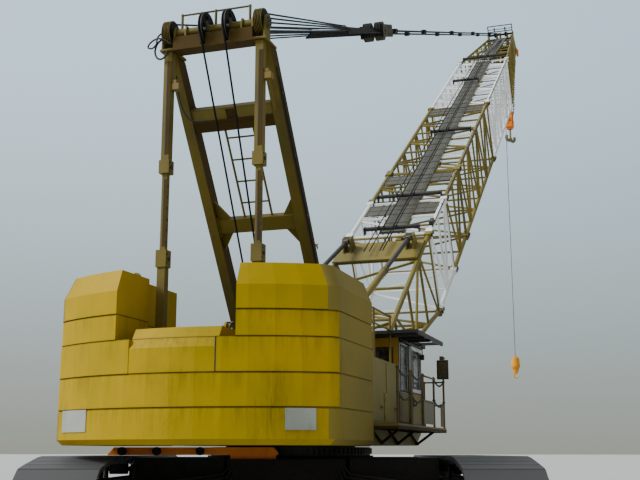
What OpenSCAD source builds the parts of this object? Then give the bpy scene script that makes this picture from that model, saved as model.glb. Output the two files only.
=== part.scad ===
// Lattice boom crawler crane, modelled as a half size scale model.
// X runs to the operator's right, Y forward along the boom, Z up.
// The origin lies on the slewing axis at ground level.

/* [Stance] */
// Turn of the crawlers against the upper works at rest, in degrees
slew_rest = 18; // [0:1:90]
// Angle of the boom above the horizontal at rest, in degrees
boom_angle = 33.2; // [30:0.1:45]

/* [Crawlers] */
// Distance between the centre lines of the two tracks
track_gauge = 3450; // [3300:10:3700]
// Length of a track from end to end
track_length = 5100; // [4700:10:5600]
// Height of the top run above the ground
track_height = 690; // [680:2:700]
// Outer radius of the track round its end wheels
track_end_r = 306; // [296:1:312]
// Fall of the top run towards an end wheel, in degrees
track_fall = 8.5; // [7:0.5:11]
// Width of a shoe
shoe_w = 640; // [560:5:720]
// Thickness of a shoe
shoe_t = 34; // [28:1:40]
// Number of shoes in a loop
shoe_count = 64; // [56:1:70]
// Gap between two shoes
shoe_gap = 16; // [10:1:24]
// Width of the link chain inside the shoes
link_w = 200; // [170:5:230]
// Thickness of the link chain
link_t = 46; // [40:1:52]
// Radius of a lower roller
roller_r = 62; // [54:1:66]
// Number of lower rollers under a crawler frame
roller_count = 9; // [7:1:11]
// Radius of a carrier roller
carrier_r = 52; // [44:1:56]

/* [Carbody] */
// Width of the middle box of the carbody
carbody_w = 1060; // [900:10:1200]
// Length of the middle box of the carbody
carbody_l = 2300; // [2000:10:2600]
// Distance of each cross beam from the slewing axis
cross_y = 820; // [700:10:900]
// Width of a cross beam along the crawlers
cross_w = 460; // [380:10:520]
// Height of the carbody top above the ground
carbody_top = 690; // [670:2:695]
// Outer radius of the slewing ring
ring_r = 800; // [720:10:860]
// Height of the slewing ring
ring_h = 80; // [60:1:84]
// Radius of a hub on the orange cross member
hub_r = 36; // [28:1:36]

/* [Counterweight] */
// Half width of the counterweight
cw_half_w = 1237; // [1180:1:1300]
// Distance of its rearmost point behind the slewing axis
cw_back_y = 2762; // [2700:1:2850]
// Radius of its rear face in plan
cw_back_r = 2092; // [2000:1:2300]
// Radius of its rear corners in plan
cw_corner_r = 160; // [120:5:220]
// Distance of its front ends behind the slewing axis
cw_front_y = 1370; // [1300:5:1450]
// Height of its underside above the ground
cw_bottom = 775; // [775:1:800]
// Height of the base slab
cw_base_h = 280; // [250:1:300]
// Height of the second slab
cw_slab_h = 261; // [240:1:290]
// Height of the low side blocks
cw_low_h = 272; // [240:1:300]
// Height of the middle side blocks
cw_mid_h = 208; // [190:1:240]
// Height of the top side blocks
cw_top_h = 369; // [340:1:400]
// Height of the bevelled crown on a top block
cw_crown = 180; // [140:1:210]
// Half width of the centre block
cw_centre_half = 372; // [340:1:400]
// Height of the centre block
cw_centre_h = 359; // [320:1:400]
// Half width left free between the upper side blocks
cw_gap_half = 515; // [480:1:560]
// Chamfer along the lower edge of the base slab
cw_chamfer = 42; // [30:1:60]
// Distance of the rear wall's inner face behind the slewing axis
cw_inner_y = 2150; // [2100:5:2200]
// Radius of the bore in a lifting eye
eye_bore_r = 16; // [12:1:18]

/* [Revolving frame] */
// Height of the frame's underside above the ground
frame_bottom = 780; // [778:1:800]
// Height of the frame's deck above the ground
frame_top = 990; // [970:1:1010]
// Half width of the main frame box
frame_half_w = 640; // [620:1:660]
// Distance of the frame's front edge ahead of the slewing axis
frame_front = 700; // [680:5:760]
// Half width of the side decks
deck_half_w = 1170; // [1150:1:1170]
// Thickness of the side decks
deck_t = 60; // [40:1:80]

/* [Machinery house] */
// Height of the houses above their decks
house_h = 600; // [580:5:640]
// Wall thickness of a house
house_wall = 14; // [10:1:20]
// Front end of the left house ahead of the slewing axis
house_front_l = 700; // [600:5:750]
// Inner face of the houses from the centre line
house_in = 695; // [690:1:710]
// Length of the engine block
engine_l = 1100; // [900:10:1200]

/* [Cab] */
// Rear face of the cab, behind the slewing axis
cab_rear_y = -170; // [-200:5:-150]
// Front face of the cab ahead of the slewing axis
cab_front_y = 780; // [760:5:820]
// Height of the cab floor above the ground
cab_floor_z = 950; // [930:1:970]
// Height of the cab roof's underside above the ground
cab_roof_z = 1820; // [1780:1:1850]
// Thickness of the cab walls and door
cab_wall = 26; // [20:1:32]
// Thickness of the window panes
pane_t = 4; // [3:1:6]
// Reach of the roof visor ahead of the cab
visor = 120; // [80:5:160]
// Length of the shade behind the cab, over the walkway
shade_l = 360; // [300:5:420]

/* [Walkway] */
// Width of the walkway outside the decks
walk_w = 280; // [260:5:300]
// Height of the walkway above the ground
walk_z = 945; // [930:1:950]
// Height of the handrail above the walkway
rail_h = 500; // [450:5:550]
// Radius of the handrail tube
rail_r = 11; // [9:1:14]

/* [Gantry] */
// Height of the gantry head pin above the ground
gantry_z = 4425; // [4300:5:4500]
// Distance of the gantry head pin behind the slewing axis
gantry_y = 2050; // [2030:5:2080]
// Pivot of the front legs ahead of the slewing axis
gantry_foot_y = 330; // [300:5:340]
// Pivot of the front legs above the ground
gantry_foot_z = 1075; // [1060:5:1100]
// Distance of a front leg from the centre line
leg_x = 450; // [445:1:455]
// Width of a front leg
leg_w = 100; // [90:1:106]
// Depth of a front leg
leg_d = 150; // [140:1:156]
// Distance of a backstay from the centre line
stay_x = 440; // [430:1:450]
// Distance of the backstays behind the slewing axis
stay_y = 2060; // [2040:5:2065]
// Width of a backstay's outer box
stay_w = 74; // [70:1:78]
// Half length of the gantry head beam
head_half = 510; // [505:1:520]
// Radius of the hoist sheaves at the gantry head
fan_sheave_r = 110; // [100:1:118]
// Radius of the spoked guide sheaves
guide_r = 148; // [130:1:150]

/* [Boom] */
// Distance between the boom's side faces, chord to chord
boom_w = 1200; // [1180:2:1220]
// Depth of the boom, chord to chord
boom_d = 1225; // [1180:5:1260]
// Radius of a chord
chord_r = 32; // [26:1:36]
// Radius of a lacing tube
lace_r = 15; // [12:1:18]
// Length of the butt section
butt_len = 4575; // [4400:5:4700]
// Length of a short insert
short_len = 1525; // [1450:5:1600]
// Length of a long insert
long_len = 4575; // [4400:5:4700]
// Length of the tip section
tip_len = 4575; // [4400:5:4700]
// Boom foot pin ahead of the slewing axis
foot_y = 430; // [400:5:450]
// Boom foot pin above the ground
foot_z = 1165; // [1150:5:1180]
// Distance from the foot pin down to the boom's centre line
foot_rise = 450; // [430:5:470]
// Radius of the boom foot pin
foot_pin_r = 40; // [34:1:44]
// Half width of the boom head
tip_half_w = 350; // [330:5:380]
// Radius of the boom head sheaves
head_sheave_r = 235; // [220:1:245]
// Place of the auxiliary line across the boom head
aux_x = -55; // [-60:1:-54]
// Place of the main hook across the boom head
main_x = 85; // [84:1:90]

/* [Rigging] */
// Radius of a boom hoist rope
rope_r = 9; // [7:1:11]
// Radius of a pendant
pendant_r = 16; // [13:1:19]
// Number of rope parts in each half of the boom hoist
rope_parts = 5; // [4:1:6]
// Length of the fan of ropes fixed at the gantry head
fan_len = 3520; // [3400:10:3560]
// Distance from the gantry head to the near end of the bridle
bridle_at = 5850; // [5700:10:6000]
// Length of the bridle block
bridle_len = 620; // [560:10:680]
// Radius of a hoist line
line_r = 7; // [5:1:9]

/* [Hooks] */
// Drop from the main sheave pin to the main hook block's pin
main_drop = 1950; // [1800:10:2000]
// Drop from the auxiliary sheave pin to the auxiliary hook
aux_drop = 9400; // [9000:10:9500]
// Radius of the sheaves in the main hook block
block_r = 110; // [100:1:112]
// Radius of the weight ball on the auxiliary line
ball_r = 120; // [100:1:130]

/* [Fits] */
// Gap between a piece and its seat
seat = 0.3; // [0.2:0.1:0.5]
// Gap round a turning pin
pin_gap = 0.3; // [0.2:0.1:0.5]

/* [Hidden] */
$fn = 32;

weight_yellow = "#c9a51c";
boom_yellow = "#b79a2e";
section_white = "#d9dcda";
beam_orange = "#d8701a";
track_grey = "#3c3d3f";
steel_grey = "#77797a";
rope_grey = "#2c2e31";
panel_olive = "#a89b6a";
rail_brown = "#6b4a2f";
cab_dark = "#33332f";

beyond = 6000; // a length that passes every piece near the upper works
cab_in = house_in;
cab_out = deck_half_w;
walk_out = deck_half_w + walk_w;
house_front_r = cab_rear_y - 6;

// Members and placing

// A straight prism between two points
module bar(a, b, r, sides) {
  d = b - a;
  l = norm(d);
  translate(a) rotate([0, acos(d[2] / l), atan2(d[1], d[0])])
    rotate([0, 0, 180 / sides]) cylinder(r = r, h = l, $fn = sides);
}

// A side profile in Y and Z, drawn out along X about its middle
module side_plate(w) {
  rotate([90, 0, 90]) linear_extrude(height = w, center = true) children();
}

// A pin along X about a point
module pin_x(at, r, w) {
  translate(at) rotate([0, 90, 0]) cylinder(r = r, h = w, center = true, $fn = 48);
}

// A box given by its two corners
module slab(low, high) {
  translate(low) cube(high - low);
}

// Both sides of the machine
module both_sides() {
  children();
  mirror([1, 0, 0]) children();
}

module lower_works() {
  rotate([0, 0, slew_rest]) children();
}

// The boom's own frame: Y along the boom from the foot pin, Z away from its belly
module on_boom() {
  translate([0, foot_y, foot_z]) rotate([boom_angle, 0, 0]) children();
}

function on_boom_pt(p) = [
  p[0],
  foot_y + p[1] * cos(boom_angle) - p[2] * sin(boom_angle),
  foot_z + p[1] * sin(boom_angle) + p[2] * cos(boom_angle)
];

// Track loop

end_y = track_length / 2 - track_end_r;
fall_len = (track_height - track_end_r * (1 + cos(track_fall))) / sin(track_fall);
crest_y = end_y + track_end_r * sin(track_fall) - fall_len * cos(track_fall);
arc_len = track_end_r * (180 - track_fall) * PI / 180;
loop_len = 2 * end_y + 2 * arc_len + 2 * fall_len + 2 * crest_y;
pitch = loop_len / shoe_count;

// Place and heading on the outside of the loop, a distance s from the rear of its lower run
function arc_pt(side, turn) = [
  side * end_y + track_end_r * sin(turn), track_end_r - track_end_r * cos(turn), turn
];
function loop_pt(s) =
  let (
    s1 = 2 * end_y,
    s2 = s1 + arc_len,
    s3 = s2 + fall_len,
    s4 = s3 + 2 * crest_y,
    s5 = s4 + fall_len,
    top = track_end_r * (1 + cos(track_fall)),
    far = end_y + track_end_r * sin(track_fall)
  )
  s < s1 ? [s - end_y, 0, 0] :
  s < s2 ? arc_pt(1, (s - s1) / track_end_r * 180 / PI) :
  s < s3 ? [far - (s - s2) * cos(track_fall), top + (s - s2) * sin(track_fall), 180 - track_fall] :
  s < s4 ? [crest_y - (s - s3), track_height, 180] :
  s < s5 ? [-crest_y - (s - s4) * cos(track_fall), track_height - (s - s4) * sin(track_fall),
    180 + track_fall] :
  arc_pt(-1, 180 + track_fall + (s - s5) / track_end_r * 180 / PI);
function loop_in(s, depth) =
  let (p = loop_pt(s)) [p[0] - depth * sin(p[2]), p[1] + depth * cos(p[2])];

link_in = shoe_t + link_t;
link_out = shoe_t - 4;
notch = 12;

module loop_ring(depth_a, depth_b) {
  difference() {
    polygon([for (i = [0:shoe_count - 1]) loop_in((i + 0.5) * pitch, depth_a)]);
    polygon([for (i = [0:shoe_count - 1]) loop_in((i + 0.5) * pitch, depth_b)]);
  }
}

module shoe_ring() {
  difference() {
    polygon([for (i = [0:shoe_count - 1]) each [
      loop_in(i * pitch + shoe_gap / 2, 0),
      loop_in((i + 1) * pitch - shoe_gap / 2, 0),
      loop_in((i + 1) * pitch - shoe_gap / 4, notch),
      loop_in((i + 1) * pitch + shoe_gap / 4, notch)
    ]]);
    polygon([for (i = [0:shoe_count - 1]) loop_in((i + 0.5) * pitch, shoe_t)]);
  }
}

module track(side) {
  color(track_grey) lower_works() translate([side * track_gauge / 2, 0, 0]) {
    side_plate(shoe_w) shoe_ring();
    side_plate(link_w) loop_ring(link_out, link_in);
  }
}

module track_left() { track(-1); }
module track_right() { track(1); }

// Crawler frames and rollers

axle_r = 45;
cheek_t = 26;
cheek_in = link_w / 2 + 12;
frame_low = link_in + 2 * roller_r + 12;
frame_high = 470;
roller_span = 2 * end_y - 760;
carrier_z = track_height - link_in - carrier_r - seat;
roller_z = link_in + roller_r + seat;
roller_axle_r = 22;

function roller_y(i) = -roller_span / 2 + i * roller_span / (roller_count - 1);
carrier_ys = [-crest_y * 0.8, 0, crest_y * 0.8];

module cheek_outline() {
  polygon([
    [-end_y - 90, track_end_r - 95], [-end_y - 90, track_end_r + 95],
    [-crest_y, frame_high], [crest_y, frame_high],
    [end_y + 90, track_end_r + 95], [end_y + 90, track_end_r - 95],
    [roller_span / 2 + 120, roller_z - 32], [-roller_span / 2 - 120, roller_z - 32]
  ]);
}

module crawler_frame(side) {
  color(track_grey) lower_works() translate([side * track_gauge / 2, 0, 0]) difference() {
    union() {
      for (cheek = [-1, 1]) {
        translate([cheek * (cheek_in + cheek_t / 2), 0, 0]) {
          side_plate(cheek_t) cheek_outline();
          for (y = carrier_ys) side_plate(cheek_t) {
            translate([y - 50, frame_high - 5]) square([100, carrier_z - frame_high + 35]);
          }
        }
      }
      slab([-cheek_in - 5, -crest_y, frame_low], [cheek_in + 5, crest_y, frame_high - 25]);
    }
    for (end = [-1, 1]) pin_x([0, end * end_y, track_end_r], axle_r + pin_gap, 600);
    for (i = [0:roller_count - 1]) pin_x([0, roller_y(i), roller_z], roller_axle_r + pin_gap, 600);
    for (y = carrier_ys) pin_x([0, y, carrier_z], roller_axle_r + pin_gap, 600);
  }
}

module crawler_frame_left() { crawler_frame(-1); }
module crawler_frame_right() { crawler_frame(1); }

wheel_r = (track_end_r - link_in) * cos(pitch / track_end_r * 90 / PI) - seat;
wheel_w = 180;
axle_len = 2 * (cheek_in + cheek_t);

module end_wheels() {
  drive_r = 170;
  drive_w = 150;
  tooth_count = 12;
  color(track_grey) lower_works() for (side = [-1, 1]) translate([side * track_gauge / 2, 0, 0]) {
    pin_x([0, end_y, track_end_r], wheel_r, wheel_w);
    pin_x([0, end_y, track_end_r], axle_r, axle_len);
    difference() {
      pin_x([0, -end_y, track_end_r], wheel_r, wheel_w);
      for (i = [0:tooth_count - 1]) translate([0, -end_y, track_end_r]) {
        rotate([(i + 0.5) * 360 / tooth_count, 0, 0]) {
          pin_x([0, 0, wheel_r + 4], 26, wheel_w + 2);
        }
      }
    }
    pin_x([0, -end_y, track_end_r], axle_r, axle_len);
    pin_x([-side * (cheek_in + cheek_t + seat + drive_w / 2), -end_y, track_end_r], drive_r, drive_w);
  }
}

module track_rollers() {
  color(track_grey) lower_works() for (side = [-1, 1]) translate([side * track_gauge / 2, 0, 0]) {
    for (i = [0:roller_count - 1]) {
      pin_x([0, roller_y(i), roller_z], roller_r, wheel_w);
      pin_x([0, roller_y(i), roller_z], roller_axle_r, axle_len);
    }
    for (y = carrier_ys) {
      pin_x([0, y, carrier_z], carrier_r, wheel_w);
      pin_x([0, y, carrier_z], roller_axle_r, axle_len);
    }
  }
}

// Carbody

cross_end = track_gauge / 2 - cheek_in - cheek_t;
cross_low = 190;
cross_high = 455;
tower_r = ring_r + 30;
ring_bore_r = ring_r - 150;

module carbody() {
  color(track_grey) lower_works() {
    slab([-carbody_w / 2, -carbody_l / 2, 240], [carbody_w / 2, carbody_l / 2, carbody_top - 30]);
    for (y = [-cross_y, cross_y]) {
      slab([-cross_end, y - cross_w / 2, cross_low], [cross_end, y + cross_w / 2, cross_high]);
      for (side = [-1, 1]) translate([0, y, 0]) rotate([90, 0, 0]) {
        linear_extrude(height = cross_w * 0.7, center = true) polygon([
          [side * carbody_w * 0.4, carbody_top - 40], [side * tower_r, carbody_top - 40],
          [side * (cross_end - 120), cross_high - 10], [side * carbody_w * 0.4, cross_high - 10]
        ]);
      }
    }
    translate([0, 0, 560]) cylinder(r = tower_r, h = carbody_top - 560, $fn = 72);
  }
}

module slew_ring() {
  bolt_circle = ring_r - 40;
  bolt_count = 24;
  color(steel_grey) lower_works() difference() {
    translate([0, 0, carbody_top]) cylinder(r = ring_r, h = ring_h, $fn = 96);
    translate([0, 0, carbody_top - 1]) cylinder(r = ring_bore_r, h = ring_h + 2, $fn = 96);
    for (i = [0:bolt_count - 1]) rotate([0, 0, i * 360 / bolt_count]) {
      translate([bolt_circle, 0, carbody_top + ring_h - 12]) cylinder(r = 11, h = 20, $fn = 24);
    }
  }
}

// Orange cross member over the rear of the carbody, with its three round hubs
module carbody_beam() {
  beam_low = carbody_top + 6;
  beam_high = carbody_top + 74;
  beam_y = -carbody_l / 2 + 90;
  beam_t = 60;
  beam_end = track_gauge / 2 - 105;
  color(beam_orange) lower_works() {
    translate([0, beam_y, 0]) rotate([90, 0, 0]) linear_extrude(height = beam_t, center = true)
      polygon([
        [-beam_end, beam_low], [60 - beam_end, beam_high], [-120, beam_high], [-80, beam_low + 20],
        [-80, beam_low]
      ]);
    slab([-carbody_w / 2 + 20, beam_y - beam_t / 2, carbody_top - 30],
      [-100, beam_y + beam_t / 2, beam_low + 10]);
    for (place = [0.914, 0.722, 0.481]) {
      translate([-place * beam_end, beam_y - beam_t / 2 - 30, (beam_low + beam_high) / 2])
        rotate([90, 0, 0]) difference() {
          cylinder(r = hub_r, h = 62, center = true, $fn = 40);
          translate([0, 0, 20]) cylinder(r = hub_r * 0.5, h = 20, $fn = 32);
        }
    }
  }
}

// Counterweight

cw_z = [
  cw_bottom,
  cw_bottom + cw_base_h,
  cw_bottom + cw_base_h + cw_slab_h,
  cw_bottom + cw_base_h + cw_slab_h + cw_low_h,
  cw_bottom + cw_base_h + cw_slab_h + cw_low_h + cw_mid_h,
  cw_bottom + cw_base_h + cw_slab_h + cw_low_h + cw_mid_h + cw_top_h
];
corner_steps = 6;
back_steps = 12;
seam_h = 12;
seam_d = 10;

// Plan of the counterweight, drawn in by an inset
function cw_plan(inset) =
  let (
    r = cw_back_r - inset,
    w = cw_half_w - inset,
    rc = cw_corner_r,
    mid_y = cw_back_r - cw_back_y,
    b = asin((w - rc) / (r - rc)),
    corner_y = mid_y - (r - rc) * cos(b)
  )
  concat(
    [[w, -cw_front_y]],
    [for (i = [0:corner_steps]) let (a = 90 - i * (90 - b) / corner_steps)
      [w - rc + rc * sin(a), corner_y - rc * cos(a)]],
    [for (i = [1:back_steps - 1]) let (a = b - i * 2 * b / back_steps)
      [r * sin(a), mid_y - r * cos(a)]],
    [for (i = [0:corner_steps]) let (a = b + i * (90 - b) / corner_steps)
      [-w + rc - rc * sin(a), corner_y - rc * cos(a)]],
    [[-w, -cw_front_y]]
  );

// One tier of the counterweight, open in front of its rear wall, with a seam along its top
module cw_tier(z0, z1, inset, wall_y) {
  difference() {
    union() {
      translate([0, 0, z0]) linear_extrude(height = z1 - z0 - seam_h) polygon(cw_plan(inset));
      translate([0, 0, z0]) linear_extrude(height = z1 - z0) polygon(cw_plan(inset + seam_d));
    }
    slab([-frame_half_w, -wall_y, z0 - 1], [frame_half_w, 0, z1 + 1]);
  }
}

module side_only(inner) {
  intersection() {
    children();
    both_sides() slab([inner, -cw_back_y - 10, 0], [cw_half_w + 10, 0, beyond]);
  }
}

module counterweight_base() {
  color(weight_yellow) difference() {
    union() {
      hull() {
        translate([0, 0, cw_bottom + cw_chamfer]) {
          linear_extrude(height = cw_base_h - cw_chamfer - seam_h) polygon(cw_plan(0));
        }
        translate([0, 0, cw_bottom]) linear_extrude(height = 1) polygon(cw_plan(cw_chamfer));
      }
      translate([0, 0, cw_bottom + cw_chamfer]) {
        linear_extrude(height = cw_base_h - cw_chamfer) polygon(cw_plan(seam_d));
      }
    }
    slab([-frame_half_w, -cw_inner_y, cw_bottom - 1], [frame_half_w, 0, cw_z[1] + 1]);
  }
}

module counterweight_slab() {
  color(weight_yellow) cw_tier(cw_z[1], cw_z[2], 0, cw_inner_y);
}

module counterweight_low() {
  color(weight_yellow) side_only(cw_centre_half + seat) cw_tier(cw_z[2], cw_z[3], 0, cw_inner_y);
}

module counterweight_mid() {
  color(weight_yellow) side_only(cw_gap_half) cw_tier(cw_z[3], cw_z[4], 4, cw_inner_y);
}

// A lifting eye standing on a block, its bore along X
module lifting_eye(at) {
  translate(at) difference() {
    union() {
      translate([0, 0, 30]) rotate([0, 90, 0]) cylinder(r = 34, h = 18, center = true, $fn = 40);
      slab([-9, -34, 0], [9, 34, 30]);
    }
    pin_x([0, 0, 32], eye_bore_r, 40);
  }
}

module crowned(z0, z1, crown, lean) {
  hull() {
    translate([0, 0, z0]) linear_extrude(height = z1 - z0 - crown) polygon(cw_plan(4));
    translate([0, 0, z1 - 1]) linear_extrude(height = 1) polygon(cw_plan(lean));
  }
}

top_lean = 78;

module counterweight_top() {
  color(weight_yellow) {
    side_only(cw_gap_half) difference() {
      crowned(cw_z[4], cw_z[5], cw_crown, top_lean);
      slab([-frame_half_w, -cw_inner_y, 0], [frame_half_w, 0, beyond]);
    }
    both_sides() lifting_eye([900, -cw_inner_y + 260, cw_z[5] - 1]);
  }
}

module counterweight_centre() {
  top = cw_z[2] + cw_centre_h;
  color(weight_yellow) {
    intersection() {
      crowned(cw_z[2], top, 165, 110);
      slab([-cw_centre_half, -cw_back_y - 10, 0], [cw_centre_half, -cw_inner_y - 60, beyond]);
    }
    lifting_eye([cw_centre_half - 90, -cw_inner_y - 180, top - 1]);
  }
}

// Revolving frame

frame_rear = cw_inner_y;
lug_t = 50;
web_t = 20;
foot_half = chord_r;
web_x = boom_w / 2 - foot_half - 4 - web_t / 2;
lug_x = boom_w / 2 + foot_half + 4 + lug_t / 2;
gantry_pin_r = 32;
race_h = 60;

module skirt(front) {
  low = frame_bottom + 6;
  polygon([
    [-cw_front_y, low], [front - 225, low], [front, cab_floor_z - deck_t + 5],
    [-cw_front_y, cab_floor_z - deck_t + 5]
  ]);
}

module foot_lug() {
  polygon([
    [foot_y - 260, frame_top - 5], [foot_y - 60, foot_z + 50], [foot_y, foot_z + 75],
    [foot_y + 60, foot_z + 50], [foot_y + 240, frame_top - 5]
  ]);
}

module gantry_lug() {
  polygon([
    [gantry_foot_y - 170, frame_top - 5], [gantry_foot_y - 60, gantry_foot_z + 60],
    [gantry_foot_y + 60, gantry_foot_z + 60], [gantry_foot_y + 150, frame_top - 5]
  ]);
}

module revolving_frame() {
  color(boom_yellow) difference() {
    union() {
      slab([-frame_half_w, -frame_rear, frame_bottom], [frame_half_w, frame_front, frame_top]);
      slab([frame_half_w - 5, -cw_front_y, cab_floor_z - deck_t],
        [deck_half_w, cab_rear_y, cab_floor_z]);
      slab([frame_half_w - 5, cab_rear_y - 5, cab_floor_z - deck_t],
        [cab_out, cab_front_y, cab_floor_z - 20]);
      slab([-deck_half_w, -cw_front_y, cab_floor_z - deck_t],
        [-frame_half_w + 5, house_front_l + 20, cab_floor_z]);
      // Boxes under the decks, cut back below their front ends
      translate([(frame_half_w + deck_half_w) / 2, 0, 0]) {
        side_plate(deck_half_w - frame_half_w) skirt(cab_front_y - 15);
      }
      translate([-(frame_half_w + deck_half_w) / 2, 0, 0]) {
        side_plate(deck_half_w - frame_half_w) skirt(house_front_l);
      }
      // Outer lug of a boom foot, and the web that boom foot and gantry foot share
      both_sides() {
        translate([lug_x, 0, 0]) side_plate(lug_t) foot_lug();
        translate([web_x, 0, 0]) side_plate(web_t) union() {
          foot_lug();
          gantry_lug();
        }
        translate([leg_x - leg_w / 2 - 16, 0, 0]) side_plate(24) gantry_lug();
      }
      // Inner race, turning inside the slewing ring
      translate([0, 0, frame_bottom - race_h]) {
        cylinder(r = ring_bore_r - pin_gap, h = race_h + 5, $fn = 96);
      }
      // Backstay seats
      both_sides() for (x = [-1, 1]) translate([stay_x + x * (stay_w / 2 + 14), -stay_y, 0]) {
        slab([-12, -90, frame_top - 5], [12, 90, frame_top + 190]);
      }
    }
    both_sides() pin_x([boom_w / 2, foot_y, foot_z], foot_pin_r + pin_gap, 260);
    both_sides() pin_x([leg_x, gantry_foot_y, gantry_foot_z], gantry_pin_r + pin_gap, 260);
    both_sides() pin_x([stay_x, -stay_y, frame_top + 120], 26 + pin_gap, 260);
  }
}

// Machinery houses and engine

module house_shell(y0, y1) {
  low = cab_floor_z;
  high = cab_floor_z + house_h;
  louvre_count = 7;
  bay_step = 560;
  panel_step = 520;
  difference() {
    slab([house_in, y0, low], [deck_half_w, y1, high]);
    slab([house_in + house_wall, y0 + house_wall, low - 1],
      [deck_half_w - house_wall, y1 - house_wall, high - house_wall]);
    for (bay = [0:1]) for (i = [0:louvre_count - 1]) {
      translate([deck_half_w - house_wall - 1, y0 + 190 + bay * bay_step, low + 330 + i * 36]) {
        cube([house_wall + 2, 380, 14]);
      }
    }
  }
  // Raised door panels on the outer side
  for (y = [y0 + 100 : panel_step : y1 - 500]) {
    slab([deck_half_w - 1, y, low + 40], [deck_half_w + 5, y + 440, low + 300]);
  }
}

module house_left() {
  color(panel_olive) mirror([1, 0, 0]) house_shell(-cw_front_y + 6, house_front_l);
}

module house_right() {
  color(panel_olive) house_shell(-cw_front_y + 6, house_front_r);
}

module engine() {
  color(steel_grey) slab([-deck_half_w + 90, -cw_front_y + 250, cab_floor_z],
    [-house_in - 60, -cw_front_y + 250 + engine_l, cab_floor_z + 480]);
}

// Winches

winch_rows = [[-1250, 200], [-640, 230], [-60, 230]]; // place along Y, drum radius
drum_half = 330;

module winches() {
  plate_t = 24;
  color(steel_grey) for (row = winch_rows) {
    axis_z = frame_top + row[1] + 40;
    pin_x([0, row[0], axis_z], row[1] * 0.72, 2 * drum_half);
    for (side = [-1, 1]) {
      pin_x([side * (drum_half - 14), row[0], axis_z], row[1], 28);
      translate([side * (drum_half + plate_t / 2 - 1), 0, 0]) side_plate(plate_t) polygon([
        [row[0] - row[1], frame_top], [row[0] - 90, axis_z + 70], [row[0] + 90, axis_z + 70],
        [row[0] + row[1], frame_top]
      ]);
    }
  }
}

// Walkway along the right side

walk_rear = -cw_front_y + 20;
walk_front = cab_front_y - 30;
walk_t = 30;
post_count = 5;
strut_ys = [-1250, -640, 190]; // outer end of each strut
roof_post_ys = [-1330, -1000, -400];
roof_post_x = deck_half_w - 22;
function post_y(i) = walk_rear + 40 + i * (walk_front - walk_rear - 80) / (post_count - 1);

module walkway() {
  foot_x = deck_half_w + 14;
  foot_z = frame_bottom + 22;
  reach = 350;
  top_z = walk_z - walk_t + 6;
  color(panel_olive) {
    slab([deck_half_w + seat, walk_rear, walk_z - walk_t], [walk_out, walk_front, walk_z]);
    for (y = strut_ys) {
      bar([foot_x, y + reach, foot_z], [walk_out - 16, y, top_z], 13, 4);
      bar([foot_x, y + reach + 4, foot_z], [foot_x, y, top_z], 11, 4);
      slab([deck_half_w + seat, y + reach - 24, foot_z - 14], [foot_x + 10, y + reach + 24, foot_z + 20]);
    }
  }
}

module handrails() {
  x = walk_out - rail_r - 4;
  front = post_y(post_count - 1);
  inner = cab_out + 60;
  railed = [post_y(2), post_y(3)];
  roof_z = cab_floor_z + house_h + seat;
  color(rail_brown) {
    for (i = [0:post_count - 1]) {
      bar([x, post_y(i), walk_z + seat], [x, post_y(i), walk_z + rail_h], rail_r, 8);
    }
    bar([inner, front, walk_z + seat], [inner, front, walk_z + rail_h], rail_r, 8);
    for (h = [rail_h - rail_r, rail_h / 2]) {
      bar([x, railed[0], walk_z + h], [x, railed[1], walk_z + h], rail_r - 2, 6);
      bar([x, front, walk_z + h], [inner, front, walk_z + h], rail_r - 2, 6);
    }
    // Kick panel of the railed bay, and a short one beside the front post
    slab([x - 3, railed[0] + 2, walk_z + 40], [x + 3, railed[1] - 2, walk_z + 265]);
    slab([x - 3, front - 170, walk_z + 30], [x + 3, front + 2, walk_z + 260]);
    // Rail on the house roof
    for (y = roof_post_ys) {
      bar([roof_post_x, y, roof_z], [roof_post_x, y, cab_roof_z + 190], rail_r, 8);
    }
    for (z = [cab_roof_z + 180, cab_roof_z + 46]) {
      bar([roof_post_x, roof_post_ys[0], z], [roof_post_x, roof_post_ys[2], z], rail_r - 2, 6);
    }
  }
}

module side_mirror() {
  x = walk_out - rail_r - 4;
  y = post_y(post_count - 1);
  mirror_low = walk_z + rail_h + 20;
  mirror_h = 200;
  color(cab_dark) {
    bar([x, y, walk_z + rail_h + seat], [x, y, mirror_low + mirror_h - 10], 9, 8);
    slab([x - 60, y - 26, mirror_low], [x + 60, y - 4, mirror_low + mirror_h]);
    slab([x - 30, y - 30, mirror_low + mirror_h - 5], [x + 10, y + 10, mirror_low + mirror_h + 40]);
  }
}

// Cab

cab_mid_x = (cab_in + cab_out) / 2;
door_y1 = cab_front_y - 100;
door_y0 = door_y1 - 390;
door_z0 = cab_floor_z + 20;
door_z1 = cab_roof_z - 60;

module cab_floor() {
  color(cab_dark) slab([cab_in, cab_rear_y + seat, cab_floor_z - 20 + seat],
    [cab_out, cab_front_y, cab_floor_z + 10]);
}

module wall_with_window(low, high, hole_low, hole_high) {
  difference() {
    slab(low, high);
    slab(hole_low, hole_high);
  }
}

wall_low = cab_floor_z + 10;
glass_rim = 70;
rear_sill = 460;
rear_head = 105;

module cab_rear() {
  color(boom_yellow) wall_with_window(
    [cab_in, cab_rear_y + seat, wall_low], [cab_out, cab_rear_y + cab_wall, cab_roof_z],
    [cab_in + glass_rim, cab_rear_y - 10, wall_low + rear_sill],
    [cab_out - glass_rim, cab_rear_y + cab_wall + 10, cab_roof_z - rear_head]);
}

module cab_inner() {
  color(boom_yellow) wall_with_window(
    [cab_in, cab_rear_y + cab_wall, wall_low], [cab_in + cab_wall, cab_front_y - cab_wall, cab_roof_z],
    [cab_in - 10, cab_rear_y + 120, wall_low + 420],
    [cab_in + cab_wall + 10, cab_front_y - 90, cab_roof_z - glass_rim]);
}

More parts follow.
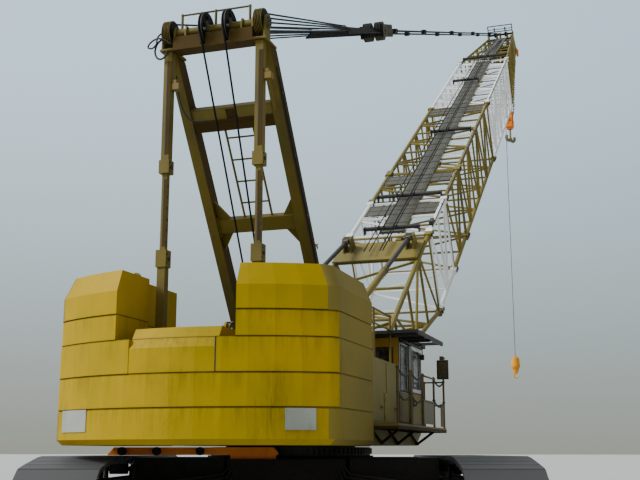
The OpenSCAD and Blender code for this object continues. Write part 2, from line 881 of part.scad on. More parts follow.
module cab_outer() {
  color(boom_yellow) difference() {
    slab([cab_out - cab_wall, cab_rear_y + cab_wall, wall_low],
      [cab_out, cab_front_y - cab_wall, cab_roof_z]);
    slab([cab_out - cab_wall - 10, door_y0, door_z0], [cab_out + 10, door_y1, door_z1]);
    slab([cab_out - cab_wall - 10, cab_rear_y + 90, wall_low + 360],
      [cab_out + 10, door_y0 - 60, cab_roof_z - glass_rim]);
  }
  // Top rail of the sliding door
  color(cab_dark) slab([cab_out - 2, cab_rear_y + cab_wall, door_z1 + 20 + seat],
    [cab_out + 40, cab_front_y - cab_wall, door_z1 + 46]);
}

module cab_front() {
  color(boom_yellow) wall_with_window(
    [cab_in, cab_front_y - cab_wall, wall_low], [cab_out, cab_front_y, cab_roof_z],
    [cab_in + glass_rim, cab_front_y - cab_wall - 10, wall_low + 120],
    [cab_out - glass_rim, cab_front_y + 10, cab_roof_z - glass_rim]);
}

module cab_roof() {
  low = cab_roof_z + seat;
  high = cab_roof_z + 30;
  shade_rear = cab_rear_y - shade_l;
  shade_front = cab_rear_y + 270;
  ribs = 3;
  color(cab_dark) difference() {
    union() {
      slab([cab_in - 15, cab_rear_y - 20, low], [cab_out + 40, cab_front_y + visor, high]);
      // Shade over the walkway, with its ribs and the frame round its open front
      slab([cab_in - 15, shade_rear, low], [walk_out, shade_front, high]);
      slab([walk_out - 22, shade_rear, cab_roof_z - 12], [walk_out, cab_front_y - 110, high]);
      slab([cab_out + 30, cab_front_y - 132, low], [walk_out, cab_front_y - 110, high]);
      for (i = [0:ribs - 1]) {
        translate([0, shade_rear + 40 + i * (shade_front - shade_rear - 96) / (ribs - 1), 0]) {
          slab([cab_out + 46, 0, cab_roof_z - 30], [walk_out - 5, 16, low + 5]);
        }
      }
    }
    translate([roof_post_x, roof_post_ys[2], cab_roof_z - 40]) cylinder(r = rail_r + 4, h = 100, $fn = 24);
  }
}

module cab_glass() {
  mid = cab_wall / 2;
  color("#5d6a6b") {
    slab([cab_in + glass_rim + seat, cab_rear_y + mid, wall_low + rear_sill + seat],
      [cab_out - glass_rim - seat, cab_rear_y + mid + pane_t, cab_roof_z - rear_head - seat]);
    slab([cab_in + mid, cab_rear_y + 120 + seat, wall_low + 420 + seat],
      [cab_in + mid + pane_t, cab_front_y - 90 - seat, cab_roof_z - glass_rim - seat]);
    slab([cab_out - mid, cab_rear_y + 90 + seat, wall_low + 360 + seat],
      [cab_out - mid + pane_t, door_y0 - 60 - seat, cab_roof_z - glass_rim - seat]);
    slab([cab_in + glass_rim + seat, cab_front_y - mid, wall_low + 120 + seat],
      [cab_out - glass_rim - seat, cab_front_y - mid + pane_t, cab_roof_z - glass_rim - seat]);
  }
}

module cab_seat() {
  x = cab_mid_x;
  y = cab_rear_y + 170;
  color(cab_dark) {
    slab([x - 60, y + 60, cab_floor_z + 10 + seat], [x + 60, y + 200, cab_floor_z + 180]);
    slab([x - 120, y, cab_floor_z + 180], [x + 120, y + 260, cab_floor_z + 240]);
    slab([x - 115, y - 40, cab_floor_z + 200], [x + 115, y + 15, cab_floor_z + 560]);
    slab([x - 110, y + 470, cab_floor_z + 10 + seat], [x + 110, y + 560, cab_floor_z + 380]);
  }
}

module cab_door() {
  x0 = cab_out + 6;
  x1 = x0 + cab_wall;
  color(boom_yellow) {
    wall_with_window([x0, door_y0 - 20, door_z0], [x1, door_y1 + 20, door_z1 + 20],
      [x0 - 10, door_y0 + 40, door_z0 + 400], [x1 + 10, door_y1 - 40, door_z1 - 40]);
    slab([x0 + cab_wall / 2, door_y0 + 40, door_z0 + 400],
      [x0 + cab_wall / 2 + pane_t, door_y1 - 40, door_z1 - 40]);
  }
}

// Gantry

gantry_foot = [0, gantry_foot_y, gantry_foot_z];
gantry_top = [0, -gantry_y, gantry_z];
leg_run = gantry_top - gantry_foot;
leg_len = norm(leg_run);
leg_tilt = atan2(-leg_run[1], leg_run[2]);

// The legs' own frame: Z along a leg from its foot pin, Y towards the rear face
module on_leg() {
  translate(gantry_foot) rotate([leg_tilt, 0, 0]) children();
}

head_low = gantry_z - 185;

// Lugs on the front of a leg, where a backstop is hinged
module stop_bracket() {
  foot = stop_on_leg();
  for (side = [-1, 1]) difference() {
    translate([backstop_x + side * stop_ear_x, 0, 0]) side_plate(stop_ear_t) polygon([
      [leg_d / 2 - 20, foot[2] - 190], [leg_d / 2 - 20, foot[2] + 150],
      [foot[1] + 50, foot[2] + 50], [foot[1] + 50, foot[2] - 50]
    ]);
    pin_x([backstop_x, foot[1], foot[2]], stop_pin_r + pin_gap, 300);
  }
}

// The backstop's foot in the leg's own frame
function stop_on_leg() =
  let (d = stop_foot - gantry_foot)
  [0, d[1] * cos(leg_tilt) + d[2] * sin(leg_tilt), -d[1] * sin(leg_tilt) + d[2] * cos(leg_tilt)];

upper_beam_at = 0.805;
lower_beam_at = 0.54;
upper_beam_h = 180;
lower_beam_h = 140;

module gantry_frame() {
  in_x = leg_x - leg_w / 2;
  boss_x = web_x - web_t / 2 - seat;
  color(boom_yellow) on_leg() {
    both_sides() {
      difference() {
        union() {
          translate([in_x, -leg_d / 2, 90]) cube([leg_w, leg_d, leg_len - 60]);
          translate([leg_x, 0, 0]) side_plate(leg_w) polygon([
            [-70, -10], [-leg_d / 2, 110], [leg_d / 2, 110], [70, -10], [45, -60], [-45, -60]
          ]);
          pin_x([(leg_x + boss_x) / 2, 0, 0], 58, boss_x - leg_x);
          stop_bracket();
        }
        pin_x([leg_x, 0, 0], gantry_pin_r + pin_gap, 300);
        rotate([-leg_tilt, 0, 0]) translate(-gantry_foot) {
          slab([0, -gantry_y - 500, head_low - seat], [head_half + 100, 0, gantry_z + 500]);
        }
      }
      pin_x([leg_x - 5, 0, 0], gantry_pin_r, 2 * (web_x + web_t / 2 - leg_x + 5));
    }
    // Cross beams, by place along the leg, depth and height
    for (row = [[upper_beam_at, 110, upper_beam_h], [lower_beam_at, 90, lower_beam_h]]) {
      z = leg_len * row[0];
      slab([-in_x - 5, -row[1] / 2, z - row[2] / 2], [in_x + 5, row[1] / 2, z + row[2] / 2]);
    }
    // Corner gussets of the lower beam
    z = leg_len * lower_beam_at;
    both_sides() for (way = [-1, 1]) rotate([90, 0, 0]) {
      linear_extrude(height = 30, center = true) polygon([
        [in_x + 3, z + way * (lower_beam_h / 2 - 4)], [in_x - 130, z + way * (lower_beam_h / 2 - 4)],
        [in_x + 3, z + way * (lower_beam_h / 2 + 190)]
      ]);
    }
    // Ladder between the cross beams
    rail_left = -125;
    rail_right = 155;
    rungs = 4;
    for (x = [rail_left, rail_right]) {
      bar([x, 0, leg_len * lower_beam_at], [x, 0, leg_len * upper_beam_at], 11, 6);
    }
    for (i = [1:rungs]) {
      h = leg_len * (lower_beam_at + i * (upper_beam_at - lower_beam_at) / (rungs + 1));
      bar([rail_left, 0, h], [rail_right, 0, h], 9, 6);
    }
  }
}

head_y = -gantry_y;
stay_pin_z = frame_top + 120;
stay_top = head_low - seat;
shaft_r = 38;
fan_mid = 440;
fan_w = 76;
fan_step = 14;
guide_xs = [-88, 136];
guide_w = 32;

// Head beam under the sheave shaft, slotted for the guide sheaves
module gantry_head() {
  beam_high = gantry_z - 60;
  plate_t = 21;
  plate_front = 200;
  half_d = 75;
  fan_in = fan_mid - fan_w / 2 - 20;
  rail_z = gantry_z + 170;
  color(boom_yellow) {
    difference() {
      slab([-fan_in, head_y - half_d, head_low], [fan_in, head_y + half_d, beam_high]);
      for (x = guide_xs) slab([x - guide_w / 2 - 6, head_y - half_d - 1, head_low + plate_t],
        [x + guide_w / 2 + 6, head_y + half_d + 1, gantry_z]);
    }
    // End plates on the legs and stays
    both_sides() slab([fan_in - 5, head_y - half_d, head_low],
      [head_half, head_y + plate_front, head_low + plate_t]);
    // Plates that carry the shaft, and the collars at its ends
    both_sides() for (x = [270, fan_in - 8, fan_mid + fan_w / 2 + 12]) {
      translate([x, head_y, 0]) side_plate(16) polygon([
        [-half_d + 5, head_low + 5], [-58, gantry_z], [-40, gantry_z + 46], [40, gantry_z + 46],
        [58, gantry_z], [half_d - 5, head_low + 5]
      ]);
    }
    pin_x([0, head_y, gantry_z], shaft_r, 2 * head_half);
    both_sides() pin_x([head_half - 11, head_y, gantry_z], 64, 22);
    // Guard rail over the guide sheaves
    for (x = [-330, 0, 330]) bar([x, head_y, gantry_z + 10], [x, head_y, rail_z + 12], 12, 8);
    bar([-342, head_y, rail_z], [342, head_y, rail_z], 9, 6);
  }
}

module gantry_stays() {
  inner_w = stay_w - 24;
  collars = [[2350, 150, 24], [3170, 120, 24]]; // height, length, extra width
  low_collar = collars[0][0];
  high_collar = collars[1][0];
  color(boom_yellow) both_sides() translate([stay_x, -stay_y, 0]) {
    difference() {
      union() {
        slab([-inner_w / 2, -inner_w / 2, stay_pin_z], [inner_w / 2, inner_w / 2, high_collar + 40]);
        slab([-stay_w / 2, -stay_w / 2, high_collar - 40], [stay_w / 2, stay_w / 2, stay_top]);
        slab([-stay_w / 2, -stay_w / 2, stay_pin_z - 40], [stay_w / 2, stay_w / 2, low_collar]);
        for (row = collars) slab([-stay_w / 2 - row[2] / 2, -stay_w / 2 - row[2] / 2, row[0] - row[1] / 2],
          [stay_w / 2 + row[2] / 2, stay_w / 2 + row[2] / 2, row[0] + row[1] / 2]);
      }
      pin_x([0, 0, stay_pin_z], 26 + pin_gap, 260);
    }
    pin_x([0, 0, stay_pin_z], 26, stay_w + 50);
  }
}

// Backstops
backstop_x = leg_x;
stop_tube_r = 42;
stop_ear_t = 16;
stop_ear_x = stop_tube_r + 6 + stop_ear_t / 2;
stop_pin_r = 24;
stop_eye_w = 84;
stop_rod_r = 30;
stop_foot = [0, 60, 1870];

// Boom stations along s and n, measured from the foot pin

mid_n = -foot_rise;
butt_end = butt_len;
joint_s = [
  butt_end,
  butt_end + short_len,
  butt_end + 2 * short_len,
  butt_end + 2 * short_len + long_len,
  butt_end + 2 * short_len + 2 * long_len,
  butt_end + 2 * short_len + 2 * long_len + tip_len
];
full_top = mid_n + boom_d / 2;
full_low = mid_n - boom_d / 2;
tip_end = joint_s[5];
tip_top = mid_n + 400;
tip_low = mid_n - 300;
main_s = tip_end - 50;
main_n = mid_n - 120;
aux_s = tip_end + 270;
aux_n = mid_n - 70;
aux_sheave_r = 165;
tip_eye_s = tip_end - 170;
tip_eye_n = mid_n + 490;
inner_plates = [-110, -12, 190];
pendant_x = 150;
stop_s = butt_end - 560;
stop_n = full_top + 190;

// Boom hoist reeving

boom_head_pt = on_boom_pt([0, tip_eye_s, tip_eye_n]);
run = boom_head_pt - gantry_top;
run_len = norm(run);
run_tilt = atan2(run[2], run[1]);

// The hoist's own frame: Y from the gantry head shaft to the boom head eye
module on_run() {
  translate(gantry_top) rotate([run_tilt, 0, 0]) children();
}

// Lateral place of rope part i at the gantry head and at the bridle
function fan_x(i) = fan_mid + fan_step * ((rope_parts - 1) / 2 - i);
function bridle_x(i) = 130 - i * 22;
function part_x(i, y) = fan_x(i) + (bridle_x(i) - fan_x(i)) * y / bridle_at;
function part_z(i) = (i - (rope_parts - 1) / 2) * 2 * fan_sheave_r * 0.8 / (rope_parts - 1);

module hoist_fan() {
  bore = shaft_r + pin_gap;
  color(rope_grey) on_run() {
    both_sides() {
      difference() {
        pin_x([fan_mid, 0, 0], fan_sheave_r, fan_w);
        pin_x([fan_mid, 0, 0], bore, fan_w + 2);
      }
      for (i = [0:rope_parts - 1]) {
        bar([fan_x(i), 58, part_z(i)], [part_x(i, fan_len), fan_len, part_z(i) * 0.4 + 8], rope_r, 8);
      }
    }
    // Spoked guide sheaves
    for (x = guide_xs) translate([x, 0, 0]) difference() {
      pin_x([0, 0, 0], guide_r, guide_w);
      pin_x([0, 0, 0], bore, guide_w + 2);
      for (i = [0:4]) rotate([i * 72, 0, 0]) pin_x([0, 0, guide_r * 0.6], guide_r * 0.23, guide_w + 2);
    }
  }
}

module bridle() {
  far = bridle_at + bridle_len;
  color(steel_grey) on_run() {
    both_sides() {
      for (i = [0:rope_parts - 1]) {
        bar([part_x(i, fan_len), fan_len + 4, part_z(i) * 0.4 - 16],
          [bridle_x(i), bridle_at + 150, part_z(i) * 0.3], rope_r, 8);
      }
      pin_x([86, bridle_at + 150, 0], 130, 110);
    }
    pin_x([0, bridle_at + 150, 0], 34, 330);
    for (side = [-1, 1]) slab([side * 160 - 12, bridle_at, -90], [side * 160 + 12, far, 90]);
    slab([-165, bridle_at + 330, -70], [165, far, 70]);
  }
}

module pendants() {
  far = bridle_at + bridle_len;
  links = [far + 250, far + 2600, far + 5600, far + 8600, far + 11600];
  color(rope_grey) on_run() both_sides() {
    difference() {
      union() {
        bar([pendant_x, far + seat, 0], [pendant_x, run_len - 70, 0], pendant_r, 8);
        for (y = links) slab([pendant_x - 26, y - 90, -34], [pendant_x + 26, y + 90, 34]);
        pin_x([pendant_x, run_len, 0], 75, 44);
        slab([pendant_x - 22, run_len - 200, -40], [pendant_x + 22, run_len, 40]);
      }
      pin_x([pendant_x, run_len, 0], 30 + pin_gap, 80);
    }
  }
}

// Boom, drawn in its own frame: s along the boom, n across its depth

// One length of lattice between two stations, each station [s, half width, top n, bottom n]
module lattice(a, b, bays) {
  function at(t) = a + (b - a) * t;
  function bay(i) = i / bays;
  function corner(t, side, face) =
    let (p = at(t)) [side * p[1], p[0], face > 0 ? p[2] : p[3]];
  for (side = [-1, 1]) for (face = [-1, 1]) bar(corner(0, side, face), corner(1, side, face), chord_r, 8);
  for (i = [0:bays - 1]) {
    flip = i % 2 == 0 ? 1 : -1;
    for (face = [-1, 1]) {
      bar(corner(bay(i + 0.07), flip, face), corner(bay(i + 0.95), -flip, face), lace_r, 6);
      bar(corner(bay(i + 0.02), -1, face), corner(bay(i + 0.02), 1, face), lace_r, 6);
    }
    for (side = [-1, 1]) {
      bar(corner(bay(i + 0.09), side, flip), corner(bay(i + 0.93), side, -flip), lace_r, 6);
      bar(corner(bay(i + 0.035), side, -1), corner(bay(i + 0.035), side, 1), lace_r, 6);
    }
  }
  for (face = [-1, 1]) bar(corner(0.995, -1, face), corner(0.995, 1, face), lace_r, 6);
  for (side = [-1, 1]) bar(corner(0.995, side, -1), corner(0.995, side, 1), lace_r, 6);
}

// Pinned joints at the four chords of a section's end
module joint_blocks(s) {
  for (side = [-1, 1]) for (n = [full_low, full_top]) translate([side * boom_w / 2, s, n]) {
    translate([-46, 0, -44]) cube([92, 120, 88]);
  }
}

module joint_blocks_back(s) {
  for (side = [-1, 1]) for (n = [full_low, full_top]) translate([side * boom_w / 2, s - 120, n]) {
    translate([-46, 0, -44]) cube([92, 120 - seat, 88]);
  }
}

module insert(k, tone, bays) {
  s0 = joint_s[k - 1];
  s1 = joint_s[k];
  color(tone) on_boom() {
    lattice([s0 + 20, boom_w / 2, full_top, full_low], [s1 - 20, boom_w / 2, full_top, full_low], bays);
    joint_blocks(s0);
    joint_blocks_back(s1);
  }
}

module boom_insert_1() { insert(1, section_white, 2); }
module boom_insert_2() { insert(2, boom_yellow, 2); }
module boom_insert_3() { insert(3, boom_yellow, 7); }
module boom_insert_4() { insert(4, section_white, 7); }

module boom_butt() {
  foot_w = 2 * chord_r;
  color(boom_yellow) on_boom() difference() {
    union() {
      lattice([170, boom_w / 2, 20, -70], [butt_end - 20, boom_w / 2, full_top, full_low], 5);
      joint_blocks_back(butt_end);
      // Feet round the foot pins
      both_sides() translate([boom_w / 2, 0, 0]) {
        pin_x([0, 0, 0], 85, foot_w);
        side_plate(foot_w) polygon([[0, 80], [300, 60], [300, -150], [0, -80]]);
      }
      // Plate across the top of the last bay, with its lugs for the backstops
      slab([-boom_w / 2, butt_end - 975, full_top + chord_r - 6],
        [boom_w / 2, butt_end - 325, full_top + chord_r + 10]);
      both_sides() for (x = [-1, 1]) translate([backstop_x + x * (stop_eye_w / 2 + 10), stop_s, 0]) {
        side_plate(20) polygon([
          [-140, full_top + chord_r], [-50, stop_n + 45], [50, stop_n + 45], [140, full_top + chord_r]
        ]);
      }
    }
    both_sides() pin_x([boom_w / 2, 0, 0], foot_pin_r + pin_gap, 200);
  }
  pin_in = web_x - web_t / 2 - 4;
  pin_out = lug_x + lug_t / 2 + 4;
  color(boom_yellow) on_boom() both_sides() {
    pin_x([(pin_in + pin_out) / 2, 0, 0], foot_pin_r, pin_out - pin_in);
  }
}

module boom_tip() {
  color(boom_yellow) on_boom() difference() {
    union() {
      lattice([joint_s[4] + 20, boom_w / 2, full_top, full_low],
        [tip_end - 300, tip_half_w, tip_top, tip_low], 7);
      joint_blocks(joint_s[4]);
      // Head plates that carry the sheave shafts
      for (x = concat(inner_plates, [-tip_half_w, tip_half_w])) translate([x, 0, 0]) side_plate(26) polygon([
        [tip_end - 520, tip_low - 20], [tip_end - 520, tip_top + 20], [tip_eye_s - 120, tip_top + 20],
        [tip_eye_s - 55, tip_eye_n + 60], [tip_eye_s + 55, tip_eye_n + 60],
        [tip_end + 40, tip_top - 90],
        [aux_s + 60, aux_n + 90], [aux_s + 70, aux_n - 60], [main_s + 60, main_n - 110]
      ]);
      slab([-tip_half_w, tip_end - 520, tip_top - 20], [tip_half_w, tip_end - 480, tip_top + 20]);
      slab([-tip_half_w, tip_end - 520, tip_low - 20], [tip_half_w, tip_end - 480, tip_low + 20]);
    }
    pin_x([0, main_s, main_n], 45 + pin_gap, 1200);
    pin_x([0, aux_s, aux_n], 35 + pin_gap, 1200);
    pin_x([0, tip_eye_s, tip_eye_n], 30 + pin_gap, 1200);
  }
}

module boom_sheaves() {
  color(cab_dark) on_boom() {
    pin_x([0, main_s, main_n], 45, 2 * tip_half_w + 60);
    for (x = [-280, -210, main_x - block_r / 2, main_x, main_x + block_r / 2, 275]) {
      pin_x([x, main_s, main_n], head_sheave_r, 30);
    }
    pin_x([0, aux_s, aux_n], 35, 2 * tip_half_w + 60);
    pin_x([aux_x, aux_s, aux_n], aux_sheave_r, 30);
    pin_x([0, tip_eye_s, tip_eye_n], 30, 2 * tip_half_w + 60);
    head_guard();
  }
}

// Rope guard on top of the head plates, with two small rollers
module head_guard() {
  low = tip_eye_n + 60 + seat;
  high = low + 220;
  roller_n = low + 115;
  rear = tip_eye_s - 38;
  front = tip_eye_s + 38;
  for (s = [rear, front]) {
    for (side = [-1, 1]) bar([side * tip_half_w, s, low], [side * tip_half_w, s, high], 10, 8);
    bar([-tip_half_w - 8, s + 2, high - 12], [tip_half_w + 8, s + 2, high - 12], 9, 6);
    bar([-tip_half_w - 8, s + 2, low + 40], [tip_half_w + 8, s + 2, low + 40], 9, 6);
  }
  bar([-tip_half_w - 8, rear - 2, roller_n], [tip_half_w + 8, rear - 2, roller_n], 11, 6);
  for (x = [-160, 150]) pin_x([x, rear - 2, roller_n], 52, 28);
}

// Grating strip and mats on the boom's upper face
module boom_walkway() {
  strip_t = 10;
  strip_x = [-160, 210];
  mat_l = 440;
  mat_back = 200;
  base = full_top + lace_r * cos(30) + seat;
  color(steel_grey) on_boom() {
    slab([strip_x[0], butt_end + 80, base], [strip_x[1], joint_s[4] - 40, base + strip_t]);
    for (k = [1:3]) slab([-boom_w / 2 + chord_r + 8, joint_s[k] - mat_back - mat_l, base],
      [boom_w / 2 - chord_r - 8, joint_s[k] - mat_back, base + strip_t]);
  }
}

// Backstops

stop_eye = on_boom_pt([0, stop_s, stop_n]);
stop_run = stop_eye - stop_foot;
stop_len = norm(stop_run);
stop_tilt = atan2(stop_run[2], stop_run[1]);

module on_stop() {
  translate(stop_foot) rotate([stop_tilt, 0, 0]) children();
}

tube_len = 2360;
rod_from = 1930;

module backstop_tubes() {
  color(boom_yellow) on_stop() both_sides() translate([backstop_x, 0, 0]) {
    difference() {
      union() {
        translate([0, 70, 0]) rotate([-90, 0, 0]) cylinder(r = stop_tube_r, h = tube_len - 70, $fn = 40);
        pin_x([0, 0, 0], 58, 2 * (stop_ear_x - stop_ear_t / 2 - seat));
        slab([-24, 0, -40], [24, 110, 40]);
      }
      translate([0, 260, 0]) rotate([-90, 0, 0]) {
        cylinder(r = stop_rod_r + pin_gap, h = stop_len, $fn = 40);
      }
      pin_x([0, 0, 0], stop_pin_r + pin_gap, 120);
    }
    pin_x([0, 0, 0], stop_pin_r, 2 * stop_ear_x + stop_ear_t + 8);
  }
}

module backstop_rods() {
  color(rope_grey) on_stop() both_sides() translate([backstop_x, 0, 0]) {
    translate([0, rod_from, 0]) rotate([-90, 0, 0]) {
      cylinder(r = stop_rod_r, h = stop_len - rod_from - 40, $fn = 40);
    }
    difference() {
      pin_x([0, stop_len, 0], 56, stop_eye_w - 2 * seat);
      pin_x([0, stop_len, 0], 26, 100);
    }
  }
}

// Hooks, hanging from the boom head

main_pin = on_boom_pt([0, main_s, main_n]);
aux_pin = on_boom_pt([0, aux_s, aux_n]);

// A hook's bowl and tip in the plane of X and Z, opening upwards on the +X side
module hook_bend(bowl_r, thick) {
  rotate([90, 0, 0]) {
    rotate([0, 0, 180]) rotate_extrude(angle = 205, $fn = 64) {
      translate([bowl_r, 0]) circle(r = thick, $fn = 24);
    }
  }
}

module main_hook() {
  x = main_x;
  y = main_pin[1] + head_sheave_r + line_r + seat;
  z = main_pin[2] - main_drop;
  r = block_r;
  cheek_x = r * 0.8 - 8;
  yoke_z = z - 3 * r;
  bowl = r * 0.8;
  bowl_z = z - 5.5 * r;
  color(beam_orange) {
    for (side = [-1, 1]) {
      bar([x + side * r / 2, y, main_pin[2]], [x + side * r / 2, y, z], line_r, 8);
      translate([x + side * cheek_x, 0, 0]) side_plate(16) polygon([
        [y - r / 2, z + 2.2 * r], [y + r / 2, z + 2.2 * r], [y + 1.15 * r, z + 0.6 * r],
        [y + 1.15 * r, z - 0.8 * r], [y + r / 2, yoke_z], [y - r / 2, yoke_z],
        [y - 1.15 * r, z - 0.8 * r], [y - 1.15 * r, z + 0.6 * r]
      ]);
    }
    // Two horns, turned so that the auxiliary line passes them
    translate([x, y, bowl_z]) rotate([0, 0, 56]) for (side = [-1, 1]) {
      translate([side * bowl, 0, 0]) mirror([side < 0 ? 1 : 0, 0, 0]) hook_bend(bowl, r * 0.24);
    }
    pin_x([x, y, z], r, 2 * cheek_x - 28);
    pin_x([x, y, z], 26, 2 * cheek_x + 26);
    slab([x - cheek_x - 2, y - r * 0.4, yoke_z], [x + cheek_x + 2, y + r * 0.4, yoke_z + r * 0.7]);
    translate([x, y, bowl_z - 8]) cylinder(r = r * 0.26, h = 2.6 * r, $fn = 32);
  }
}

module aux_hook() {
  x = aux_x;
  y = aux_pin[1] + aux_sheave_r + line_r + seat;
  z = aux_pin[2] - aux_drop;
  r = ball_r;
  bowl_z = z - 2.75 * r;
  color(beam_orange) {
    bar([x, y, z], [x, y, aux_pin[2]], line_r, 8);
    translate([x, y, z - r / 2]) sphere(r = r, $fn = 32);
    translate([x, y, bowl_z + r * 0.45]) cylinder(r = r * 0.2, h = r, $fn = 32);
    translate([x, y, bowl_z]) rotate([90, 0, 0]) rotate([0, 0, 90]) {
      rotate_extrude(angle = 250, $fn = 64) translate([r * 0.52, 0]) circle(r = r * 0.18, $fn = 24);
    }
  }
}

carbody();
carbody_beam();
slew_ring();
crawler_frame_left();
crawler_frame_right();
track_left();
track_right();
end_wheels();
track_rollers();
revolving_frame();
counterweight_base();
counterweight_slab();
counterweight_low();
counterweight_mid();
counterweight_top();
counterweight_centre();
house_left();
house_right();
engine();
winches();
walkway();
handrails();
cab_floor();
cab_rear();
cab_inner();
cab_outer();
cab_front();
cab_roof();
cab_glass();
cab_seat();
cab_door();
side_mirror();
gantry_frame();
gantry_head();
gantry_stays();
hoist_fan();
bridle();
pendants();
boom_butt();
boom_insert_1();
boom_insert_2();
boom_insert_3();
boom_insert_4();
boom_tip();
boom_sheaves();
boom_walkway();
backstop_tubes();
backstop_rods();
main_hook();
aux_hook();
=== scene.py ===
"""Finishes, fittings, floor, lights and camera for a half size lattice boom crawler crane."""

from __future__ import annotations

import logging
import math
from collections.abc import Callable
from dataclasses import dataclass, field
from enum import Enum
from itertools import product

import bmesh
import bpy
from mathutils import Matrix, Vector

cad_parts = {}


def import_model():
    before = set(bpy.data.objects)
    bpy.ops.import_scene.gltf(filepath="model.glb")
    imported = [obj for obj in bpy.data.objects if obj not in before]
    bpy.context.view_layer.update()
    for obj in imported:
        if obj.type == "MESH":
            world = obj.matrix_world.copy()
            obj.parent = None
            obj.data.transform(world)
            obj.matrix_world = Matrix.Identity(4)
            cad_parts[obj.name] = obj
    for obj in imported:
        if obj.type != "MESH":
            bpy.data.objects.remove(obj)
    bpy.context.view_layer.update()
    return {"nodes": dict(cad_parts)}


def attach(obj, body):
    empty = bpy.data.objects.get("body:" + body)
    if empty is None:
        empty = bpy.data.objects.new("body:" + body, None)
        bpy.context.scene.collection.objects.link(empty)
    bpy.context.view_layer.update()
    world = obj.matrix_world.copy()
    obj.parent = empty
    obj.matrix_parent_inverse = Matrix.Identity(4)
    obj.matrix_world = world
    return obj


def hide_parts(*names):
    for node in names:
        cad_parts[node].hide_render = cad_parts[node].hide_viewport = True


log = logging.getLogger("crane")

Point = tuple[float, float, float]
Socket = bpy.types.NodeSocket
SIDES = (-1, 1)
UNTURNED = Matrix.Identity(4)


class Body(str, Enum):
    """The crane's moving bodies."""

    LOWER = "lower_works"
    UPPER = "upper_works"
    BOOM = "boom"
    FAN = "hoist_fan"
    PENDANTS = "pendants"
    MAIN_HOOK = "main_hook"
    AUX_HOOK = "aux_hook"
    DOOR = "cab_door"
    TUBES = "backstop_tubes"
    RODS = "backstop_rods"


class Wear(Enum):
    """How hard a finish has been used, as a share of its surface."""

    LIGHT = 0.25
    WORKED = 0.5
    HEAVY = 0.8


def linear(code: str) -> tuple[float, float, float, float]:
    """Turns a hex colour into linear light.

    Args:
        code: Six hex digits.

    Returns:
        Red, green, blue and a full alpha.
    """
    shares = [int(code[i : i + 2], 16) / 255 for i in (0, 2, 4)]
    light = [s / 12.92 if s <= 0.04045 else ((s + 0.055) / 1.055) ** 2.4 for s in shares]
    return (light[0], light[1], light[2], 1.0)


def enter(name: str, data: bpy.types.ID) -> bpy.types.Object:
    """Puts new data into the scene as an object.

    Args:
        name: The object's name.
        data: Its mesh, lamp or camera.

    Returns:
        The object.
    """
    made = bpy.data.objects.new(name, data)
    bpy.context.scene.collection.objects.link(made)
    return made


def to_mesh(name: str, shape: bmesh.types.BMesh, *materials: bpy.types.Material) -> bpy.types.Mesh:
    """Turns gathered shapes into a mesh with its materials.

    Args:
        name: The mesh's name.
        shape: The gathered shapes, which are freed.
        *materials: Its materials.

    Returns:
        The mesh.
    """
    data = bpy.data.meshes.new(name)
    shape.to_mesh(data)
    shape.free()
    for material in materials:
        data.materials.append(material)
    log.info("%s: %d faces", name, len(data.polygons))
    return data


# ---- Node building ----


